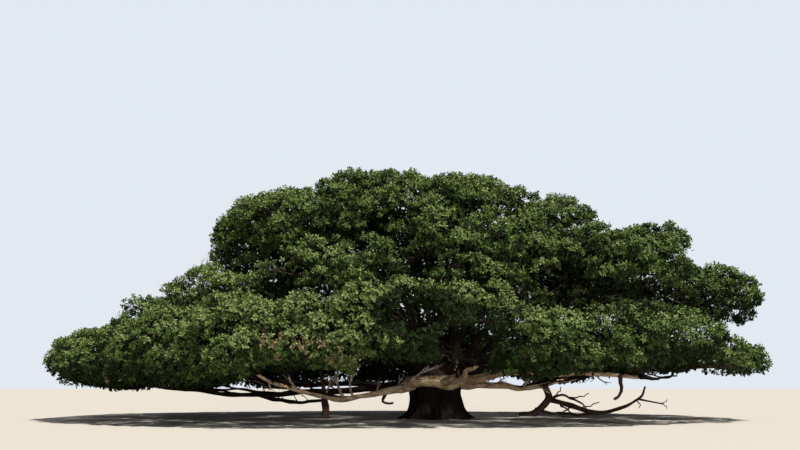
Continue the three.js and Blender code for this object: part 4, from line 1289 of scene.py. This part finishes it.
def lump_shells(tree, seed):
    """Places and facings of the leaves inside a mass's large lumps: a shell in each, at a share of its
    reach."""
    large = tree["size"] >= FILL_RADIUS[1]
    lumps, size = tree["lumps"][large], tree["size"][large]
    around = cap_directions(tree["facing"][large], INNER_LEAVES_PER_LUMP, -0.6, seed + 0.7)
    n = np.arange(INNER_LEAVES_PER_LUMP)[None, :] + 100 * np.arange(len(lumps))[:, None]
    share = LUMP_SHELL[0] + LUMP_SHELL[1] * chance(n, seed + 0.8)
    places = lumps[:, None] + around * FLATTENED * (share * size[:, None])[..., None]
    return places.reshape(-1, 3), around.reshape(-1, 3)


def mass_shell(mass):
    """Places and facings of the leaves behind a mass's free surface: a shell at a share of its reach. Below a
    skirt's hub it lies further out, and at the back it hangs down under the mass, twice as dense."""
    seed = mass["seed"]
    count = INNER_LEAVES_PER_MASS // (3 if mass["tier"] == "wing" else 1)
    directions = cap_directions(UP[None], count, -1, seed + 0.9)[0]
    shaded = mass["tier"] == "skirt" and SHADED_SKIRT[0] <= mass["number"] < SHADED_SKIRT[1]
    if shaded:
        directions = np.vstack([directions, cap_directions(-UP[None], count, 0.1, seed + 0.93)[0]])
    free = plane_reach(mass, directions) > INNER_LEAST_SHARE * own_reach(mass, directions)
    directions = directions[free]
    further = SHELL_BELOW["back"] if shaded else SHELL_BELOW["front"] * (mass["tier"] == "skirt")
    below = np.clip(-directions[:, 2] / SHELL_BELOW["slope"], 0, 1) * further
    share = MASS_SHELL[0] + MASS_SHELL[1] * chance(np.arange(len(directions)), seed + 0.95) + below
    return mass["hub"] + directions * (share * reach_of(mass, directions))[:, None], directions


def shade_clumps(mass):
    """Places and facings of the leaves of each clump of painted shade nearest to a mass's hub: balls, filled
    evenly.
    """
    for k, (place, radius) in enumerate(SHADE_CLUMPS):
        if seam_swell(np.array([place]))[1][0] == mass["seed"] - 1:
            around = cap_directions(UP[None], CLUMP_LEAVES, -1, k + 0.5)[0]
            share = chance(np.arange(CLUMP_LEAVES), k + 0.6) ** (1 / 3)
            yield place + around * (radius * share)[:, None], around


def inner_leaves(mass, tree):
    """Large leaves in painted shade inside a mass's lumps, behind its free surface and in its clumps of
    painted shade, which close the view through it. They face outwards, more or less, and those that would
    show are left out."""
    seed = mass["seed"]
    sets = [lump_shells(tree, seed), mass_shell(mass), *shade_clumps(mass)]
    feet, facing = (np.vstack(part) for part in zip(*sets))
    n = np.arange(len(feet))
    loose = loose_offset((n + 0.1, n + 0.2, n + 0.3), seed)
    normal = unit(facing + 0.5 * loose)
    along = unit(np.cross(normal, loose[:, [1, 2, 0]]))
    length = between(INNER_LEAF_LENGTH, chance(n, seed + 0.4))
    _, drawn = drawn_in(feet, INNER_LEAF_LENGTH[1])
    kept = ((drawn < INNER_DRAWN) | (facing[:, 2] < INNER_HANGING)) & ~in_hollow(feet)
    return leaf_points(feet[kept], along[kept], normal[kept], length[kept])


def spikes(starts, ends, radius):
    """Thin pointed twigs: each is a three-sided pyramid from a start to an end."""
    across, square = (part * radius for part in square_frame(unit(ends - starts)))
    corners = [starts + across * math.cos(a) + square * math.sin(a) for a in (0, TURN / 3, 2 * TURN / 3)]
    points = np.stack(corners + [ends], axis=1).reshape(-1, 3)
    first = np.arange(len(starts))[:, None, None] * 4
    faces = (first + np.array([[0, 1, 3], [1, 2, 3], [2, 0, 3], [0, 2, 1]])).reshape(-1, 3)
    return points, faces


def mass_leaves(tree):
    """One mass's leaves with the tones of their faces: those of its sprays, then the ones inside, in painted
    shade.
    """
    seeds = tree["mass"]["seed"] * 10.0 + 0.013 * np.arange(len(tree["sprays"]))
    outer = leaf_sprays(tree["sprays"], tree["ways"], seeds)
    inner = inner_leaves(tree["mass"], tree)
    tones = [np.repeat(tree["tone"], 2 * LEAVES_PER_SPRAY), np.full(len(inner) // 2, SHADE_TONE)]
    return np.vstack([outer, inner]), np.concatenate(tones)


def mass_twigs(tree):
    """One mass's twigs, as far as they carry leaves: arms from its fork to its large lumps, starts and ends
    of pointed twigs to its small lumps and its tufts, and those of the stalks of its sprays."""
    mass, tuft = tree["mass"], tree["tuft_of_spray"]
    leafy_tufts = np.unique(tuft)
    leafy_lumps = np.unique(tree["lump_of_tuft"][leafy_tufts])
    small = tree["size"] < FILL_RADIUS[1]
    fills = leafy_lumps[small[leafy_lumps]]
    large = np.flatnonzero(~small)
    apart = np.linalg.norm(tree["lumps"][fills][:, None] - tree["lumps"][large][None], axis=2)
    carriers = large[apart.argmin(axis=1)]
    arms = []
    for k in np.union1d(leafy_lumps[~small[leafy_lumps]], carriers):
        t = np.linspace(0, 1, 6)[:, None]
        sag = ARM_SAG * np.sin(math.pi * t) * (UP * 0.6 + mass["side"] * swing(k, mass["seed"]))
        path = mass["fork"] + (tree["lumps"][k] - mass["fork"]) * t + sag
        arms.append(carried_tube(path, np.linspace(*ARM_RADII, 6)[:, None] * np.ones((1, 5))))
    twigs = [(tree["lumps"][carriers], tree["lumps"][fills]),
             (tree["lumps"][tree["lump_of_tuft"][leafy_tufts]], tree["tufts"][leafy_tufts])]
    return arms, twigs, (tree["tufts"][tuft], tree["sprays"])


def make_foliage(marks):
    """Every zone's leaves and every zone's twigs, each kind joined into one piece."""
    lumps = place_lumps()
    grown = {(mass["tier"], mass["number"]): grow(mass, lumps, marks) for mass in MASSES}
    trees = list(grown.values())
    keep_lit_sprays(trees)
    deal_tones(trees)
    for zone, members in ZONES.items():
        own = [grown[member] for member in members]
        points, tones = zip(*[mass_leaves(tree) for tree in own])
        points = np.vstack(points)
        add_piece(f"{zone}_leaves", points, [leaf_faces(len(points) // 4)], LEAF_TONES,
                  [tree["mass"]["name"] for tree in own], tones=np.concatenate(tones), smooth=False)
        arms, twigs, stalks = zip(*[mass_twigs(tree) for tree in own])
        points, quads, caps, _ = join(sum(arms, []))
        thick, thick_faces = spikes(*[np.vstack(part) for part in zip(*sum(twigs, []))], TWIG_RADIUS)
        thin, thin_faces = spikes(*[np.vstack(part) for part in zip(*stalks)], SPRAY_STALK)
        faces = np.vstack([caps, thick_faces + len(points), thin_faces + len(points) + len(thick)])
        add_piece(f"{zone}_twigs", np.vstack([points, thick, thin]), [quads, faces], [TWIG_BROWN_AND_SHADE_BARK],
                  smooth=False)


def make_floor():
    """A plain pale floor: a wide disc, its rim points at even angles."""
    angle = np.linspace(0, TURN, FLOOR["sides"], endpoint=False)
    rim = FLOOR["radius"] * np.array([np.cos(angle), np.sin(angle)])
    mesh = bpy.data.meshes.new("floor")
    mesh.from_pydata([(x, y, FLOOR["height"]) for x, y in rim.T], [], [list(range(FLOOR["sides"]))])
    material, _, shader = new_material("pale_floor")
    shader.inputs["Base Color"].default_value = FLOOR["colour"]
    shader.inputs["Roughness"].default_value = FLOOR["roughness"]
    mesh.materials.append(material)
    add_object("floor", mesh)


def add_sun(name, sun):
    """A sun of a given strength and spread, tipped and turned by its degrees."""
    light = bpy.data.lights.new(name, "SUN")
    light.energy = sun["energy"]
    light.angle = math.radians(sun["spread"])
    light.color = sun["colour"]
    add_object(name, light).rotation_euler = (math.radians(sun["tipped"]), 0, math.radians(sun["turned"]))


def make_light():
    """Plain soft light: a high sun from the front right, a weak low fill from the front that reaches under
    the crown, and a pale sky that is brighter to the camera."""
    add_sun("key", KEY_SUN)
    add_sun("fill", FILL_SUN)
    world = bpy.data.worlds.new("pale_studio")
    world.use_nodes = True
    bpy.context.scene.world = world
    tree = world.node_tree
    soft = tree.nodes["Background"]
    seen = new_node(tree, "ShaderNodeBackground")
    for sky, (colour, strength) in ((soft, SKY), (seen, SEEN_SKY)):
        sky.inputs["Color"].default_value = colour
        sky.inputs["Strength"].default_value = strength
    path = new_node(tree, "ShaderNodeLightPath")
    mix = new_node(tree, "ShaderNodeMixShader")
    tree.links.new(path.outputs["Is Camera Ray"], mix.inputs[0])
    tree.links.new(soft.outputs["Background"], mix.inputs[1])
    tree.links.new(seen.outputs["Background"], mix.inputs[2])
    tree.links.new(mix.outputs["Shader"], tree.nodes["World Output"].inputs["Surface"])


def make_camera():
    """The photograph's viewing angle: eye height, before the crown's middle, tilted up a little."""
    camera = bpy.data.cameras.new("view")
    camera.lens = CAMERA["lens"]
    camera.sensor_width = CAMERA["sensor"]
    camera.clip_end = CAMERA["clip"]
    eye = add_object("view", camera)
    eye.location = CAMERA["eye"]
    eye.rotation_euler = (math.radians(90 + CAMERA["tilt"]), 0, 0)
    bpy.context.scene.camera = eye
    bpy.context.scene.view_settings.view_transform = "Standard"


make_camera()
make_light()
make_floor()
make_trunk()
handles_of, marks = make_limbs()
make_prop(handles_of[f"skirt_bough_{PROP['bough']}"])
make_ground_limb(handles_of[f"skirt_bough_{GROUND_LIMB['bough']}"])
make_spurs(handles_of)
make_foliage(marks)
